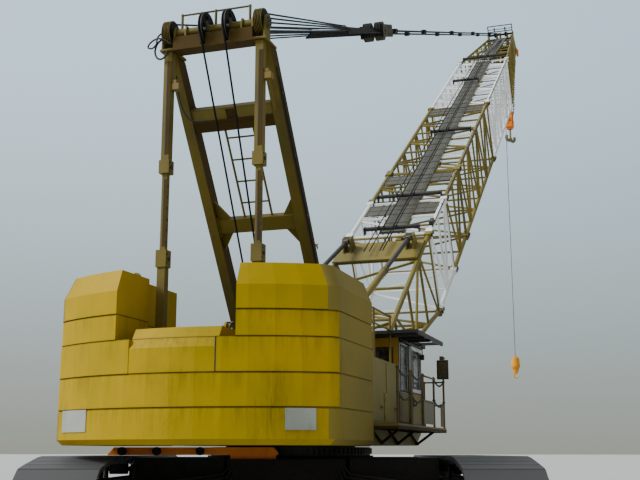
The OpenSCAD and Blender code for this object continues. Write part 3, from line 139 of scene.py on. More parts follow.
@dataclass
class Graph:
    """A node tree with short calls for adding and joining nodes."""

    tree: bpy.types.NodeTree

    def feed(self, node: bpy.types.Node, values: dict[str | int, object]) -> None:
        """Links a node's inputs to sockets, or sets their own values.

        Args:
            node: The node.
            values: Sockets and values by the inputs' names or numbers.
        """
        for name, value in values.items():
            if isinstance(value, Socket):
                self.tree.links.new(value, node.inputs[name])
            else:
                node.inputs[name].default_value = value

    def add(self, kind: str, values: dict[str | int, object] | None = None, **traits: object) -> bpy.types.Node:
        """Adds a node, sets its properties and feeds its inputs.

        Args:
            kind: Blender's name of the node type, after ShaderNode.
            values: Sockets and values for its inputs.
            **traits: Property names and their values.

        Returns:
            The new node.
        """
        made = self.tree.nodes.new(f"ShaderNode{kind}")
        for name, value in traits.items():
            setattr(made, name, value)
        self.feed(made, values or {})
        return made

    def maths(self, step: str, first: object, *others: object, clamp: bool = False) -> Socket:
        """Joins numbers one after another by a maths step.

        Args:
            step: Blender's name of the step.
            first: First number or socket.
            *others: The numbers and sockets that follow.
            clamp: Whether the result stays between 0 and 1.

        Returns:
            The result's socket.
        """
        for other in others or (0.0,):
            made = self.add("Math", {0: first, 1: other}, operation=step)
            first = made.outputs[0]
        made.use_clamp = clamp
        return first

    def spread(self, value: object, low: float, high: float, out_low: float = 0.0,
               out_high: float = 1.0) -> Socket:
        """Maps a range of numbers smoothly onto another.

        Args:
            value: Number or socket to map.
            low: Start of the range.
            high: End of the range.
            out_low: Result at the start.
            out_high: Result at the end.

        Returns:
            The result's socket.
        """
        values = {"Value": value, "From Min": low, "From Max": high, "To Min": out_low, "To Max": out_high}
        return self.add("MapRange", values, interpolation_type="SMOOTHSTEP").outputs["Result"]

    def mix(self, share: object, first: object, second: object) -> Socket:
        """Mixes two colours by the share of the second."""
        return self.add("Mix", {"Factor": share, 6: first, 7: second}, data_type="RGBA").outputs[2]

    def noise(self, place: Socket, scale: float | Point, detail: float = 5.0, rough: float = 0.6) -> Socket:
        """Adds a noise pattern.

        Args:
            place: Socket with the pattern's coordinates.
            scale: Features per metre, one number or one for each axis.
            detail: Number of finer layers.
            rough: Strength of the finer layers.

        Returns:
            The pattern's value socket.
        """
        if isinstance(scale, tuple):
            place = self.add("Mapping", {"Vector": place, "Scale": scale}).outputs["Vector"]
            scale = 1.0
        values = {"Vector": place, "Scale": scale, "Detail": detail, "Roughness": rough}
        return self.add("TexNoise", values).outputs["Fac"]

    def axes(self, place: Socket) -> bpy.types.bpy_prop_collection:
        """Splits coordinates into X, Y and Z."""
        return self.add("SeparateXYZ", {0: place}).outputs

    def bump(self, height: Socket, strength: float) -> Socket:
        """Turns heights into normals."""
        return self.add("Bump", {"Strength": strength, "Distance": 0.004, "Height": height}).outputs["Normal"]


TONES = ("Paint", "Faded", "Rust", "Grime", "Dust")


def weathering() -> bpy.types.NodeTree:
    """Builds the group that fades, streaks, rusts and dusts a painted surface, once.

    Returns:
        The node group.
    """
    name = "weathering"
    if name in bpy.data.node_groups:
        return bpy.data.node_groups[name]
    tree = bpy.data.node_groups.new(name, "ShaderNodeTree")
    for way, kind, labels in (
        ("INPUT", "Vector", ("Place",)), ("INPUT", "Float", ("Upward", "Edge")), ("INPUT", "Color", TONES),
        ("INPUT", "Float", ("Wear", "Streaks", "Dustiness", "Roughness")),
        ("OUTPUT", "Color", ("Color",)), ("OUTPUT", "Float", ("Roughness", "Height")),
    ):
        for label in labels:
            tree.interface.new_socket(name=label, in_out=way, socket_type=f"NodeSocket{kind}")
    g = Graph(tree)
    given = tree.nodes.new("NodeGroupInput").outputs
    place, upward, edge = given["Place"], given["Upward"], given["Edge"]
    cloud = g.noise(place, 0.9, 6.0)
    grain = g.noise(place, 28.0, 6.0, 0.7)
    blotch = g.noise(place, 5.0, 8.0, 0.72)
    runs = g.spread(g.noise(place, (7.0, 7.0, 0.6), 8.0, 0.78), 0.5, 0.72)
    fine_runs = g.spread(g.noise(place, (37.0, 37.0, 2.4), 4.0, 0.7), 0.58, 0.85)
    patchy = g.spread(g.noise(place, 2.1), 0.42, 0.62)

    tone = g.mix(g.spread(cloud, 0.36, 0.66), given["Paint"], given["Faded"])
    side = g.maths("SUBTRACT", 1.0, g.maths("ABSOLUTE", upward), clamp=True)
    drip = g.maths("ADD", g.maths("MULTIPLY", runs, side), g.maths("MULTIPLY", fine_runs, 0.3))
    drip = g.maths("ADD", g.maths("MULTIPLY", drip, patchy), g.maths("MULTIPLY", edge, 0.9))
    drip = g.maths("MULTIPLY", drip, given["Streaks"], clamp=True)
    tone = g.mix(g.maths("MULTIPLY", drip, 0.75), tone, given["Grime"])
    tone = g.mix(g.spread(edge, 0.88, 1.0, 0.0, 0.9), tone, given["Grime"])
    specks = g.maths("MULTIPLY", g.spread(blotch, 0.6, 0.74), g.spread(grain, 0.35, 0.6), given["Wear"],
                     clamp=True)
    tone = g.mix(specks, tone, given["Rust"])
    settled = g.maths("MULTIPLY", g.spread(upward, 0.3, 0.95), g.spread(cloud, 0.2, 0.6, 0.55))
    film = g.maths("MULTIPLY", g.spread(grain, 0.3, 0.8), 0.22)
    settled = g.maths("MULTIPLY", g.maths("ADD", settled, film), given["Dustiness"], clamp=True)

    uneven = g.maths("MULTIPLY", g.maths("SUBTRACT", cloud, 0.5), 0.25)
    g.feed(tree.nodes.new("NodeGroupOutput"), {
        "Color": g.mix(settled, tone, given["Dust"]),
        "Roughness": g.maths("ADD", given["Roughness"], uneven, g.maths("MULTIPLY", specks, 0.3),
                             g.maths("MULTIPLY", settled, 0.3), clamp=True),
        "Height": g.maths("SUBTRACT", g.maths("MULTIPLY", grain, 0.25), g.maths("MULTIPLY", specks, 0.6)),
    })
    return tree


# ---- Finishes ----


@dataclass(frozen=True)
class Surface:
    """A material that is built on its first use."""

    name: str

    def material(self) -> bpy.types.Material:
        """Hands out the material.

        Returns:
            The material.
        """
        if self.name in bpy.data.materials:
            return bpy.data.materials[self.name]
        made = bpy.data.materials.new(self.name)
        made.use_nodes = True
        g = Graph(made.node_tree)
        place = g.add("TexCoord").outputs["Object"]
        g.feed(made.node_tree.nodes["Principled BSDF"], self.inputs(g, place))
        return made

    def inputs(self, g: Graph, place: Socket) -> dict[str, object]:
        """Builds what feeds the shader.

        Args:
            g: The material's graph.
            place: Socket with the object's coordinates.

        Returns:
            Sockets and values by the names of the shader's inputs.
        """
        raise NotImplementedError


@dataclass(frozen=True)
class Finish(Surface):
    """A weathered surface, its five tones in the order of TONES."""

    paint: str
    faded: str
    rust: str
    grime: str
    dust: str
    wear: Wear
    streaks: float
    dustiness: float
    rough: float
    metallic: float = 0.0
    bump: float = 0.25
    shine: float = 0.35
    seams: tuple[float, ...] = ()

    def inputs(self, g: Graph, place: Socket) -> dict[str, object]:
        """Weathers the finish's tones.

        Args:
            g: The material's graph.
            place: Socket with the object's coordinates.

        Returns:
            Sockets and values by the names of the shader's inputs.
        """
        colours = [linear(code) for code in (self.paint, self.faded, self.rust, self.grime, self.dust)]
        bpy.data.materials[self.name].diffuse_color = colours[0]
        up = g.axes(g.add("NewGeometry").outputs["Normal"])["Z"]
        worn = g.add("Group", node_tree=weathering())
        g.feed(worn, {"Place": place, "Upward": up, **dict(zip(TONES, colours)), "Wear": self.wear.value,
                      "Streaks": self.streaks, "Dustiness": self.dustiness, "Roughness": self.rough})
        if self.seams:
            g.feed(worn, {"Edge": self.below_seams(g, place)})
        out = worn.outputs
        return {"Base Color": out["Color"], "Roughness": out["Roughness"], "Metallic": self.metallic,
                "Normal": g.bump(out["Height"], self.bump), "Specular IOR Level": self.shine}

    def below_seams(self, g: Graph, place: Socket) -> Socket:
        """Masks the dirt that hangs below each seam and lies along it.

        Args:
            g: The material's graph.
            place: Socket with the object's coordinates.

        Returns:
            The mask's socket.
        """
        height = g.axes(place)["Z"]
        runs = g.spread(g.noise(place, (20.0, 20.0, 1.2), 5.0, 0.65), 0.42, 0.7)
        total: object = 0.0
        line: object = 0.0
        for level in self.seams:
            depth = g.maths("SUBTRACT", level, height)
            off = g.maths("ABSOLUTE", depth)
            line = g.maths("MAXIMUM", line, g.spread(off, 0.0025, 0.0055, 1.0, 0.0))
            hung = g.maths("MULTIPLY", g.spread(depth, 0.0, 0.2, 1.0, 0.0), runs,
                           g.maths("GREATER_THAN", depth, 0.0))
            near = g.spread(off, 0.0, 0.022, 0.45, 0.0)
            total = g.maths("ADD", total, g.maths("ADD", near, hung), clamp=True)
        return g.maths("MAXIMUM", g.maths("MULTIPLY", total, 0.85), line)


@dataclass(frozen=True)
class Grating(Surface):
    """Pressed grating: pale bars over a dark ground that is painted shade in its openings, tilted with its deck."""

    bar: str
    ground: str
    pitch: float
    tilt: float

    def inputs(self, g: Graph, place: Socket) -> dict[str, object]:
        """Draws the bars across the deck.

        Args:
            g: The material's graph.
            place: Socket with the object's coordinates.

        Returns:
            Sockets and values by the names of the shader's inputs.
        """
        turn = (math.radians(self.tilt), 0.0, 0.0)
        level = g.add("Mapping", {"Vector": place, "Rotation": turn}, vector_type="TEXTURE").outputs["Vector"]
        parts = g.axes(level)
        bars: object = 0.0
        for axis, width in (("X", 0.30), ("Y", 0.24)):
            phase = g.maths("FRACT", g.maths("DIVIDE", parts[axis], self.pitch))
            edge = g.maths("ABSOLUTE", g.maths("SUBTRACT", phase, 0.5))
            bars = g.maths("MAXIMUM", bars, g.spread(edge, 0.5 - width, 0.5 - width + 0.06))
        grime, patches = g.noise(place, 1.7, 6.0, 0.7), g.noise(place, 9.0, 6.0, 0.7)
        pale = g.mix(g.spread(grime, 0.35, 0.7), linear(self.bar), linear("55524a"))
        # The dark ground is painted shade in the grating's openings, with dirt patches.
        ground = g.mix(g.spread(patches, 0.4, 0.7), linear(self.ground), linear("2b271d"))
        return {"Base Color": g.mix(bars, ground, pale), "Roughness": g.spread(patches, 0.3, 0.7, 0.5, 0.8),
                "Normal": g.bump(bars, 0.5), "Metallic": 0.2}


@dataclass(frozen=True)
class Pane(Surface):
    """Dusty window glass."""

    tint: str
    rough: float = 0.12

    def inputs(self, g: Graph, place: Socket) -> dict[str, object]:
        """Smears clear glass with dust.

        Args:
            g: The material's graph.
            place: Socket with the object's coordinates.

        Returns:
            Sockets and values by the names of the shader's inputs.
        """
        smears = g.noise(place, 7.0, 6.0, 0.7)
        return {"Base Color": g.mix(g.spread(smears, 0.4, 0.7), linear(self.tint), linear("b8b4a4")),
                "Roughness": g.spread(smears, 0.35, 0.75, self.rough, self.rough + 0.3),
                "IOR": 1.45, "Transmission Weight": 0.9, "Metallic": 0.0}


@dataclass(frozen=True)
class Lens(Surface):
    """A lamp's clear front over a bright bowl."""

    tint: str

    def inputs(self, g: Graph, place: Socket) -> dict[str, object]:
        """Ribs the lamp's front.

        Args:
            g: The material's graph.
            place: Socket with the object's coordinates.

        Returns:
            Sockets and values by the names of the shader's inputs.
        """
        ribs = g.add("TexWave", {"Vector": place, "Scale": 60.0}, bands_direction="X").outputs["Fac"]
        return {"Base Color": g.mix(ribs, linear(self.tint), linear("ffffff")), "Roughness": 0.15,
                "Metallic": 0.6}


TIER_SEAMS = (1.055, 1.316, 1.588, 1.796)

WEIGHT_YELLOW = Finish("weight_yellow_paint", "ae8e00", "978000", "4f330c", "2a2004", "857224",
                       Wear.LIGHT, 0.55, 0.25, 0.55, shine=0.1, seams=TIER_SEAMS)
# Painted shade: a darker, dustier yellow for the counterweight's outer side faces, standing in for the shade on the
# side away from the key light.
WEIGHT_SHADED_SIDE = Finish("weight_side_painted_shade", "857426", "7a6c32", "4f330c", "2a2004", "6e6238",
                     Wear.LIGHT, 0.6, 0.3, 0.7, shine=0.2)
BALL_YELLOW = Finish("ball_yellow_paint", "d89000", "bc7c08", "5c3014", "3a2a1a", "6a5a34",
                     Wear.LIGHT, 0.4, 0.1, 0.5, shine=0.3)
GANTRY_YELLOW = Finish("gantry_yellow_paint", "665814", "4e451a", "3f2510", "1e190c", "76693a",
                       Wear.HEAVY, 0.7, 0.4, 0.6, shine=0.25)
# Painted shade: a darker brown for gantry faces that lie in shade.
GANTRY_SHADE_BROWN = Finish("gantry_shaded_paint", "47360f", "372b12", "2f1c0e", "15120b", "5a4c28",
                      Wear.HEAVY, 0.7, 0.12, 0.7, shine=0.1)
BOOM_YELLOW = Finish("boom_yellow_paint", "7a6a20", "5c5224", "43290f", "2a2310", "837a4e",
                     Wear.HEAVY, 0.55, 0.35, 0.6, shine=0.25)
CAB_YELLOW = Finish("cab_yellow_paint", "a57f04", "8c7013", "4c2f0f", "2c230e", "857640",
                    Wear.WORKED, 0.5, 0.4, 0.5, shine=0.3)
CAB_SIDE = Finish("cab_side_paint", "c3c6c2", "adb0ab", "6b4a2c", "55524a", "8f8672",
                  Wear.WORKED, 0.5, 0.25, 0.4)
SECTION_WHITE = Finish("boom_white_paint", "f3f4f3", "e2e4e1", "6b4a2c", "7a766a", "a39f90",
                       Wear.WORKED, 0.3, 0.15, 0.55)
BEAM_ORANGE = Finish("beam_orange_paint", "ea8000", "d06a04", "5a2c14", "33231a", "8f8672",
                     Wear.WORKED, 0.4, 0.2, 0.5)
HOOK_ORANGE = Finish("hook_orange_paint", "ea7c00", "d86c04", "5c3014", "3a2a1a", "8f8672",
                     Wear.LIGHT, 0.3, 0.1, 0.45)
HOOK_STEEL = Finish("forged_hook_steel", "857a58", "746a4e", "4a3320", "2a2620", "8f8672",
                    Wear.HEAVY, 0.3, 0.2, 0.6, metallic=0.3)
TRACK_STEEL = Finish("track_steel", "232220", "3b382f", "3d2c1f", "171614", "665e4e",
                     Wear.HEAVY, 0.3, 0.7, 0.8, bump=0.6, shine=0.15)
TRACK_DARK = Finish("track_frame_steel", "171615", "23211e", "33241a", "0d0c0b", "5b554a",
                    Wear.WORKED, 0.3, 0.5, 0.8, metallic=0.1, bump=0.5, shine=0.2)
BARE_STEEL = Finish("dull_steel", "3b3a38", "4a4743", "4a301e", "1b1918", "8f8672",
                    Wear.WORKED, 0.4, 0.35, 0.55, metallic=0.5)
HOUSE_OLIVE = Finish("house_olive_paint", "7e7132", "6a6132", "4c331b", "2c281b", "777048",
                     Wear.WORKED, 0.7, 0.3, 0.55, shine=0.2)
PANEL_MESH = Finish("kick_panel_paint", "66624c", "57533f", "553a20", "3b3628", "98907a",
                    Wear.LIGHT, 0.4, 0.3, 0.6)
RAIL_BROWN = Finish("rail_brown_paint", "574010", "463812", "3f230f", "1e180f", "8f8672",
                    Wear.HEAVY, 0.3, 0.3, 0.6)
RAIL_OLIVE = Finish("rail_olive_paint", "6f5a10", "5c4c16", "43290f", "1f1a0c", "8f8672",
                    Wear.HEAVY, 0.3, 0.2, 0.6)
WALK_BROWN = Finish("walkway_brown_paint", "3a2d0a", "2c220c", "3a2410", "17130c", "544b2c",
                    Wear.HEAVY, 0.4, 0.15, 0.7, shine=0.15)
DARK_PAINT = Finish("matt_black_paint", "161615", "232221", "33251b", "0c0c0c", "6c675b",
                    Wear.LIGHT, 0.2, 0.3, 0.55)
ROPE_STEEL = Finish("greased_rope", "0c0d0d", "151515", "241b15", "070707", "38352f",
                    Wear.LIGHT, 0.1, 0.1, 0.6, bump=0.5, shine=0.12)
SEAT_VINYL = Finish("seat_vinyl", "1b1a19", "262523", "5a3218", "2a2620", "8f8672", Wear.LIGHT, 0.0, 0.2, 0.45)
PLAIN_PLATE = Finish("bare_aluminium_plate", "a3a79c", "8b8f86", "7c7768", "57554a", "8f8672",
                     Wear.LIGHT, 0.6, 0.25, 0.45, metallic=0.2)
BRIDLE_OLIVE = Finish("bridle_block_paint", "4d4426", "403a24", "3f2712", "16130c", "665d40",
                      Wear.HEAVY, 0.3, 0.4, 0.65)
MIRROR_FACE = Finish("mirror_face", "6d716e", "565a57", "5a3218", "3b3a34", "8f8672",
                     Wear.LIGHT, 0.6, 0.3, 0.18, metallic=0.9, bump=0.05)
DECK_MESH = Grating("deck_grating", "5c5e55", "15160f", 0.03, 33.2)
TINTED_GLASS = Pane("tinted_glass", "2f3938")
LAMP_GLASS = Lens("lamp_glass", "b9bcbc")

NODE_FINISHES: dict[Surface, str] = {
    TRACK_STEEL: "track_left track_right",
    TRACK_DARK: "carbody crawler_frame_left crawler_frame_right end_wheels track_rollers",
    BEAM_ORANGE: "carbody_beam",
    HOOK_ORANGE: "main_hook",
    BALL_YELLOW: "aux_hook",
    BARE_STEEL: "slew_ring winches engine",
    DECK_MESH: "boom_walkway",
    WEIGHT_YELLOW: "counterweight_base counterweight_slab counterweight_low counterweight_mid "
                   "counterweight_top counterweight_centre",
    GANTRY_YELLOW: "revolving_frame gantry_frame gantry_head gantry_stays",
    BOOM_YELLOW: "boom_butt boom_insert_2 boom_insert_3 boom_tip backstop_tubes",
    CAB_YELLOW: "cab_rear cab_inner cab_front",
    CAB_SIDE: "cab_outer cab_door",
    SECTION_WHITE: "boom_insert_1 boom_insert_4",
    HOUSE_OLIVE: "house_left house_right",
    WALK_BROWN: "walkway",
    RAIL_BROWN: "handrails",
    DARK_PAINT: "cab_floor cab_roof side_mirror backstop_rods boom_sheaves",
    SEAT_VINYL: "cab_seat",
    ROPE_STEEL: "hoist_fan pendants bridle",
    TINTED_GLASS: "cab_glass",
}
FAR = 99.0
WHOLE = (-FAR, FAR)


@dataclass(frozen=True)
class Patch:
    """A part of a node with a finish of its own, taken by the place of its faces."""

    node: str
    finish: Surface
    x: tuple[float, float] = WHOLE
    y: tuple[float, float] = WHOLE
    z: tuple[float, float] = WHOLE
    least_area: float = 0.0
    least_sideways: float = 0.0

    def holds(self, face: bpy.types.MeshPolygon) -> bool:
        """Tells whether a face lies in the patch."""
        inside = all(low <= c <= high for (low, high), c in zip((self.x, self.y, self.z), face.center))
        return inside and face.area >= self.least_area and abs(face.normal.x) >= self.least_sideways

    def apply(self, mesh: bpy.types.Mesh) -> None:
        """Gives the patch's faces their finish.

        Args:
            mesh: The node's mesh.
        """
        mesh.materials.append(self.finish.material())
        for face in filter(self.holds, mesh.polygons):
            face.material_index = len(mesh.materials) - 1


PATCHES = (
    Patch("cab_door", TINTED_GLASS, (1.188, 1.194), (0.33, 0.64), (1.37, 1.72)),
    Patch("handrails", PANEL_MESH, x=(1.431, 1.439), z=(0.97, 1.215), least_area=0.02),
    Patch("main_hook", ROPE_STEEL, z=(10.66, FAR)),
    Patch("main_hook", HOOK_STEEL, z=(-FAR, 10.05)),
    Patch("aux_hook", ROPE_STEEL, z=(3.26, FAR)),
    # Painted shade under the gantry head's shaft.
    Patch("gantry_head", GANTRY_SHADE_BROWN, (-0.384, 0.384), (-2.13, -1.97), (4.23, 4.3655)),
    Patch("cab_outer", DARK_PAINT, x=(1.1705, FAR), z=(1.78, FAR)),
    Patch("revolving_frame", HOUSE_OLIVE, x=(1.15, FAR), z=(-FAR, 1.0)),
    Patch("revolving_frame", HOUSE_OLIVE, x=(-FAR, -1.15), z=(-FAR, 1.0)),
    Patch("gantry_head", RAIL_BROWN, z=(4.56, FAR)),
    # Painted shade on the side faces of the gantry legs.
    Patch("gantry_frame", GANTRY_SHADE_BROWN, least_sideways=0.9),
    Patch("handrails", RAIL_OLIVE, x=(-FAR, 1.2), z=(1.5, FAR)),
    # Painted shade, with some dust, on the counterweight's outer side faces.
    *(Patch(f"counterweight_{name}", WEIGHT_SHADED_SIDE, x=reach, least_sideways=least)
      for name, least in (("base", 0.55), ("slab", 0.97), ("low", 0.97), ("mid", 0.97), ("top", 0.55))
      for reach in ((1.0, FAR), (-FAR, -1.0))),
    Patch("bridle", BRIDLE_OLIVE, y=(3.42, FAR)),
)


def dress_nodes(nodes: dict[str, bpy.types.Object]) -> None:
    """Gives every CAD node its finish.

    Args:
        nodes: The frame's nodes by name.
    """
    left = set(nodes)
    for finish, names in NODE_FINISHES.items():
        for name in names.split():
            nodes[name].data.materials.clear()
            nodes[name].data.materials.append(finish.material())
            left.remove(name)
    if left:
        raise ValueError(f"these nodes have no finish: {sorted(left)}")
    for patch in PATCHES:
        patch.apply(nodes[patch.node].data)


# ---- Piece building ----


def shift(point: Point, run: Point) -> Point:
    """Moves a point by a run."""
    return tuple(p + r for p, r in zip(point, run))


def aligned(middle: Point, axis: Point) -> Matrix:
    """Places a frame at a middle, with its Z along an axis."""
    return Matrix.Translation(middle) @ Vector(axis).to_track_quat("Z", "Y").to_matrix().to_4x4()


def paces(start: float, stop: float, step: float) -> list[float]:
    """Lists the places a step apart, from a start to just before a stop."""
    return [start + i * step for i in range(math.ceil((stop - start) / step))]


@dataclass
class Shape:
    """Gathers bmesh shapes into one piece, drawn in a sub-assembly's own frame."""

    place: Matrix = field(default_factory=lambda: Matrix.Identity(4))
    mesh: bmesh.types.BMesh = field(default_factory=bmesh.new)

    def block(self, corner: Point, opposite: Point, chamfer: float = 0.0, turn: Matrix = UNTURNED) -> None:
        """Adds a box between two opposite corners.

        Args:
            corner: One corner.
            opposite: The corner across from it.
            chamfer: Width of the bevel on its edges.
            turn: Extra placing of the box.
        """
        a, b = Vector(corner), Vector(opposite)
        size = Matrix.Diagonal((*(abs(side) for side in b - a), 1.0))
        made = bmesh.ops.create_cube(self.mesh, size=1.0, matrix=turn @ Matrix.Translation((a + b) / 2) @ size)
        if chamfer > 0:
            edges = {e for v in made["verts"] for e in v.link_edges}
            bmesh.ops.bevel(self.mesh, geom=list(edges), offset=chamfer, affect="EDGES",
                            segments=1, profile=0.5, material=-1)

    def box(self, middle: Point, size: Point, chamfer: float = 0.0) -> None:
        """Adds a box round a middle."""
        half = tuple(side / 2 for side in size)
        self.block(shift(middle, tuple(-h for h in half)), shift(middle, half), chamfer)

    def rod(self, start: Point, end: Point, radius: float, sides: int = 12,
            end_radius: float | None = None) -> None:
        """Adds a round bar, or a cone where its ends differ.

        Args:
            start: Middle of its first end.
            end: Middle of its other end.
            radius: Radius at the first end.
            sides: Number of its flats.
            end_radius: Radius at the other end.
        """
        a, b = Vector(start), Vector(end)
        bmesh.ops.create_cone(self.mesh, cap_ends=True, segments=sides, radius1=radius,
                              radius2=radius if end_radius is None else end_radius,
                              depth=(b - a).length, matrix=aligned((a + b) / 2, b - a))

    def stub(self, at: Point, run: Point, radius: float, sides: int = 12,
             end_radius: float | None = None) -> None:
        """Adds a rod that stands on a place, by its run from there."""
        self.rod(at, shift(at, run), radius, sides, end_radius)

    def pin(self, middle: Point, half: float, radius: float, sides: int = 12) -> None:
        """Adds a rod along X round a middle."""
        self.rod(shift(middle, (-half, 0, 0)), shift(middle, (half, 0, 0)), radius, sides)

    def chain(self, points: list[Point], radius: float, sides: int = 8) -> None:
        """Adds a bent bar as rods with a ball at each bend.

        Args:
            points: The bar's corners.
            radius: Its radius.
            sides: Number of its flats.
        """
        for a, b in zip(points, points[1:]):
            self.rod(a, b, radius, sides)
        for p in points[1:-1]:
            self.ball(p, radius, sides)

    def ball(self, middle: Point, radius: float, sides: int = 12) -> None:
        """Adds a ball."""
        bmesh.ops.create_uvsphere(self.mesh, u_segments=sides, v_segments=max(4, sides // 2),
                                  radius=radius, matrix=Matrix.Translation(middle))

    def ring(self, middle: Point, axis: Point, profile: list[tuple[float, float]], steps: int) -> None:
        """Spins a closed outline round an axis.

        Args:
            middle: A point of the axis.
            axis: The axis.
            profile: The outline's corners, each a radius and a place along the axis.
            steps: Number of steps of the spin.
        """
        place = aligned(middle, axis)
        corners = [self.mesh.verts.new(place @ Vector((r, 0.0, z))) for r, z in profile]
        edges = [self.mesh.edges.new((a, b)) for a, b in zip(corners, corners[1:] + corners[:1])]
        bmesh.ops.spin(self.mesh, geom=[*corners, *edges], cent=middle, axis=Vector(axis).normalized(),
                       angle=math.tau, steps=steps, use_merge=True, use_duplicate=False)

    def disc(self, middle: Point, axis: Point, outer: float, inner: float, thick: float,
             steps: int = 32) -> None:
        """Adds a flat ring."""
        half = thick / 2
        self.ring(middle, axis, [(inner, -half), (outer, -half), (outer, half), (inner, half)], steps)

    def bolt(self, at: Point, way: Point, size: float = 0.011, tall: float = 0.008) -> None:
        """Adds a hexagon head standing on a surface."""
        self.rod(at, tuple(Vector(at) + Vector(way).normalized() * tall), size, 6)

    def bolt_circle(self, middle: Point, axis: Point, radius: float, count: int,
                    size: float = 0.009, tall: float = 0.008) -> None:
        """Sets hexagon heads round a middle, standing along an axis.

        Args:
            middle: The circle's middle, on the surface.
            axis: The way the heads stand.
            radius: The circle's radius.
            count: Number of heads.
            size: Radius of a head.
            tall: Height of a head.
        """
        place = aligned(middle, axis)
        for i in range(count):
            a = math.tau * (i + 0.5) / count
            spot = place @ Vector((radius * math.cos(a), radius * math.sin(a), 0.0))
            self.bolt(tuple(spot), axis, size, tall)

    def cap(self, at: Point, reach: float, radius: float, circle: float, count: int, sides: int = 28) -> None:
        """Adds a round cap along X with a circle of bolts on its face.

        Args:
            at: The cap's foot.
            reach: How far it stands out along X, with its sign.
            radius: The cap's radius.
            circle: Radius of the bolt circle.
            count: Number of bolts.
            sides: Number of the cap's flats.
        """
        self.stub(at, (reach, 0, 0), radius, sides)
        self.bolt_circle(shift(at, (reach, 0, 0)), (math.copysign(1, reach), 0, 0), circle, count)

    def rim(self, low: Point, high: Point, width: float, flat: int) -> None:
        """Frames an opening with four blocks.

        Args:
            low: Lowest corner of the frame's inside.
            high: Highest corner of the frame's inside.
            width: Width of the frame's bars.
            flat: Axis square to the opening, as an index.
        """
        across, up = (k for k in range(3) if k != flat)
        for axis in (across, up):
            for upper in (False, True):
                a, b = list(low), list(high)
                if upper:
                    a[axis], b[axis] = b[axis], b[axis] + width
                else:
                    a[axis], b[axis] = a[axis] - width, a[axis]
                if axis == across:
                    a[up] -= width
                    b[up] += width
                self.block(tuple(a), tuple(b))

    def links(self, start: Point, end: Point, sag: float, pitch: float = 0.026,
              wire: float = 0.0032) -> None:
        """Hangs a chain of rigid oval links between two points.

        Args:
            start: First end.
            end: Other end.
            sag: Fall of its middle below the straight line.
            pitch: Distance between two links.
            wire: Radius of the links' wire.
        """
        a, b = Vector(start), Vector(end)
        count = max(2, round((b - a).length / pitch))
        spots = [a.lerp(b, i / count) - Vector((0, 0, 4 * sag * (i / count) * (1 - i / count)))
                 for i in range(count + 1)]
        upright = Matrix.Rotation(math.pi / 2, 4, "X")
        for i, (p, q) in enumerate(zip(spots, spots[1:])):
            turn = (q - p).normalized().to_track_quat("X", "Z").to_matrix().to_4x4()
            place = Matrix.Translation((p + q) / 2) @ turn @ Matrix.Rotation(math.pi / 2 * (i % 2), 4, "X")
            before = len(self.mesh.verts)
            made = bmesh.ops.create_circle(self.mesh, cap_ends=False, segments=4, radius=wire,
                                           matrix=place @ Matrix.Translation((pitch * 0.34, 0, 0)) @ upright)
            edges = {e for v in made["verts"] for e in v.link_edges}
            bmesh.ops.spin(self.mesh, geom=[*made["verts"], *edges], cent=place.translation,
                           axis=place.col[2].xyz, angle=math.tau, steps=8, use_merge=True,
                           use_duplicate=False)
            self.mesh.verts.ensure_lookup_table()
            stretch = place @ Matrix.Diagonal((2.1, 1.0, 1.0, 1.0)) @ place.inverted()
            bmesh.ops.transform(self.mesh, matrix=stretch, verts=self.mesh.verts[before:])

    def piece(self, name: str, body: Body, finish: Surface, slot: str, smooth: bool = False) -> None:
        """Makes the gathered shapes one piece that rides on a body.

        Args:
            name: The piece's name.
            body: The body it moves with.
            finish: Its finish.
            slot: Not used.
            smooth: Whether its faces are shaded smooth up to sharp edges.
        """
        bmesh.ops.remove_doubles(self.mesh, verts=self.mesh.verts, dist=1e-6)
        bmesh.ops.transform(self.mesh, matrix=self.place, verts=self.mesh.verts)
        bmesh.ops.recalc_face_normals(self.mesh, faces=self.mesh.faces)
        data = to_mesh(name, self.mesh, finish.material())
        if smooth:
            data.shade_smooth()
            data.set_sharp_from_angle(angle=math.radians(35))
        made = enter(name, data)
        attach(made, body.value)


# ---- Sub-assemblies ----


LOWER_FRAME = Matrix.Rotation(math.radians(18.0), 4, "Z")
BOOM_FRAME = Matrix.Translation((0.0, 0.430, 1.165)) @ Matrix.Rotation(math.radians(33.2), 4, "X")
LEG_FRAME = Matrix.Translation((0.0, 0.33, 1.075)) @ Matrix.Rotation(math.atan2(2.38, 3.35), 4, "X")
STOP_FRAME = Matrix.Translation((0.0, 0.06, 1.87)) @ Matrix.Rotation(math.radians(26.825), 4, "X")
RUN_FRAME = Matrix.Translation((0.0, -2.05, 4.425)) @ Matrix.Rotation(math.radians(22.528), 4, "X")


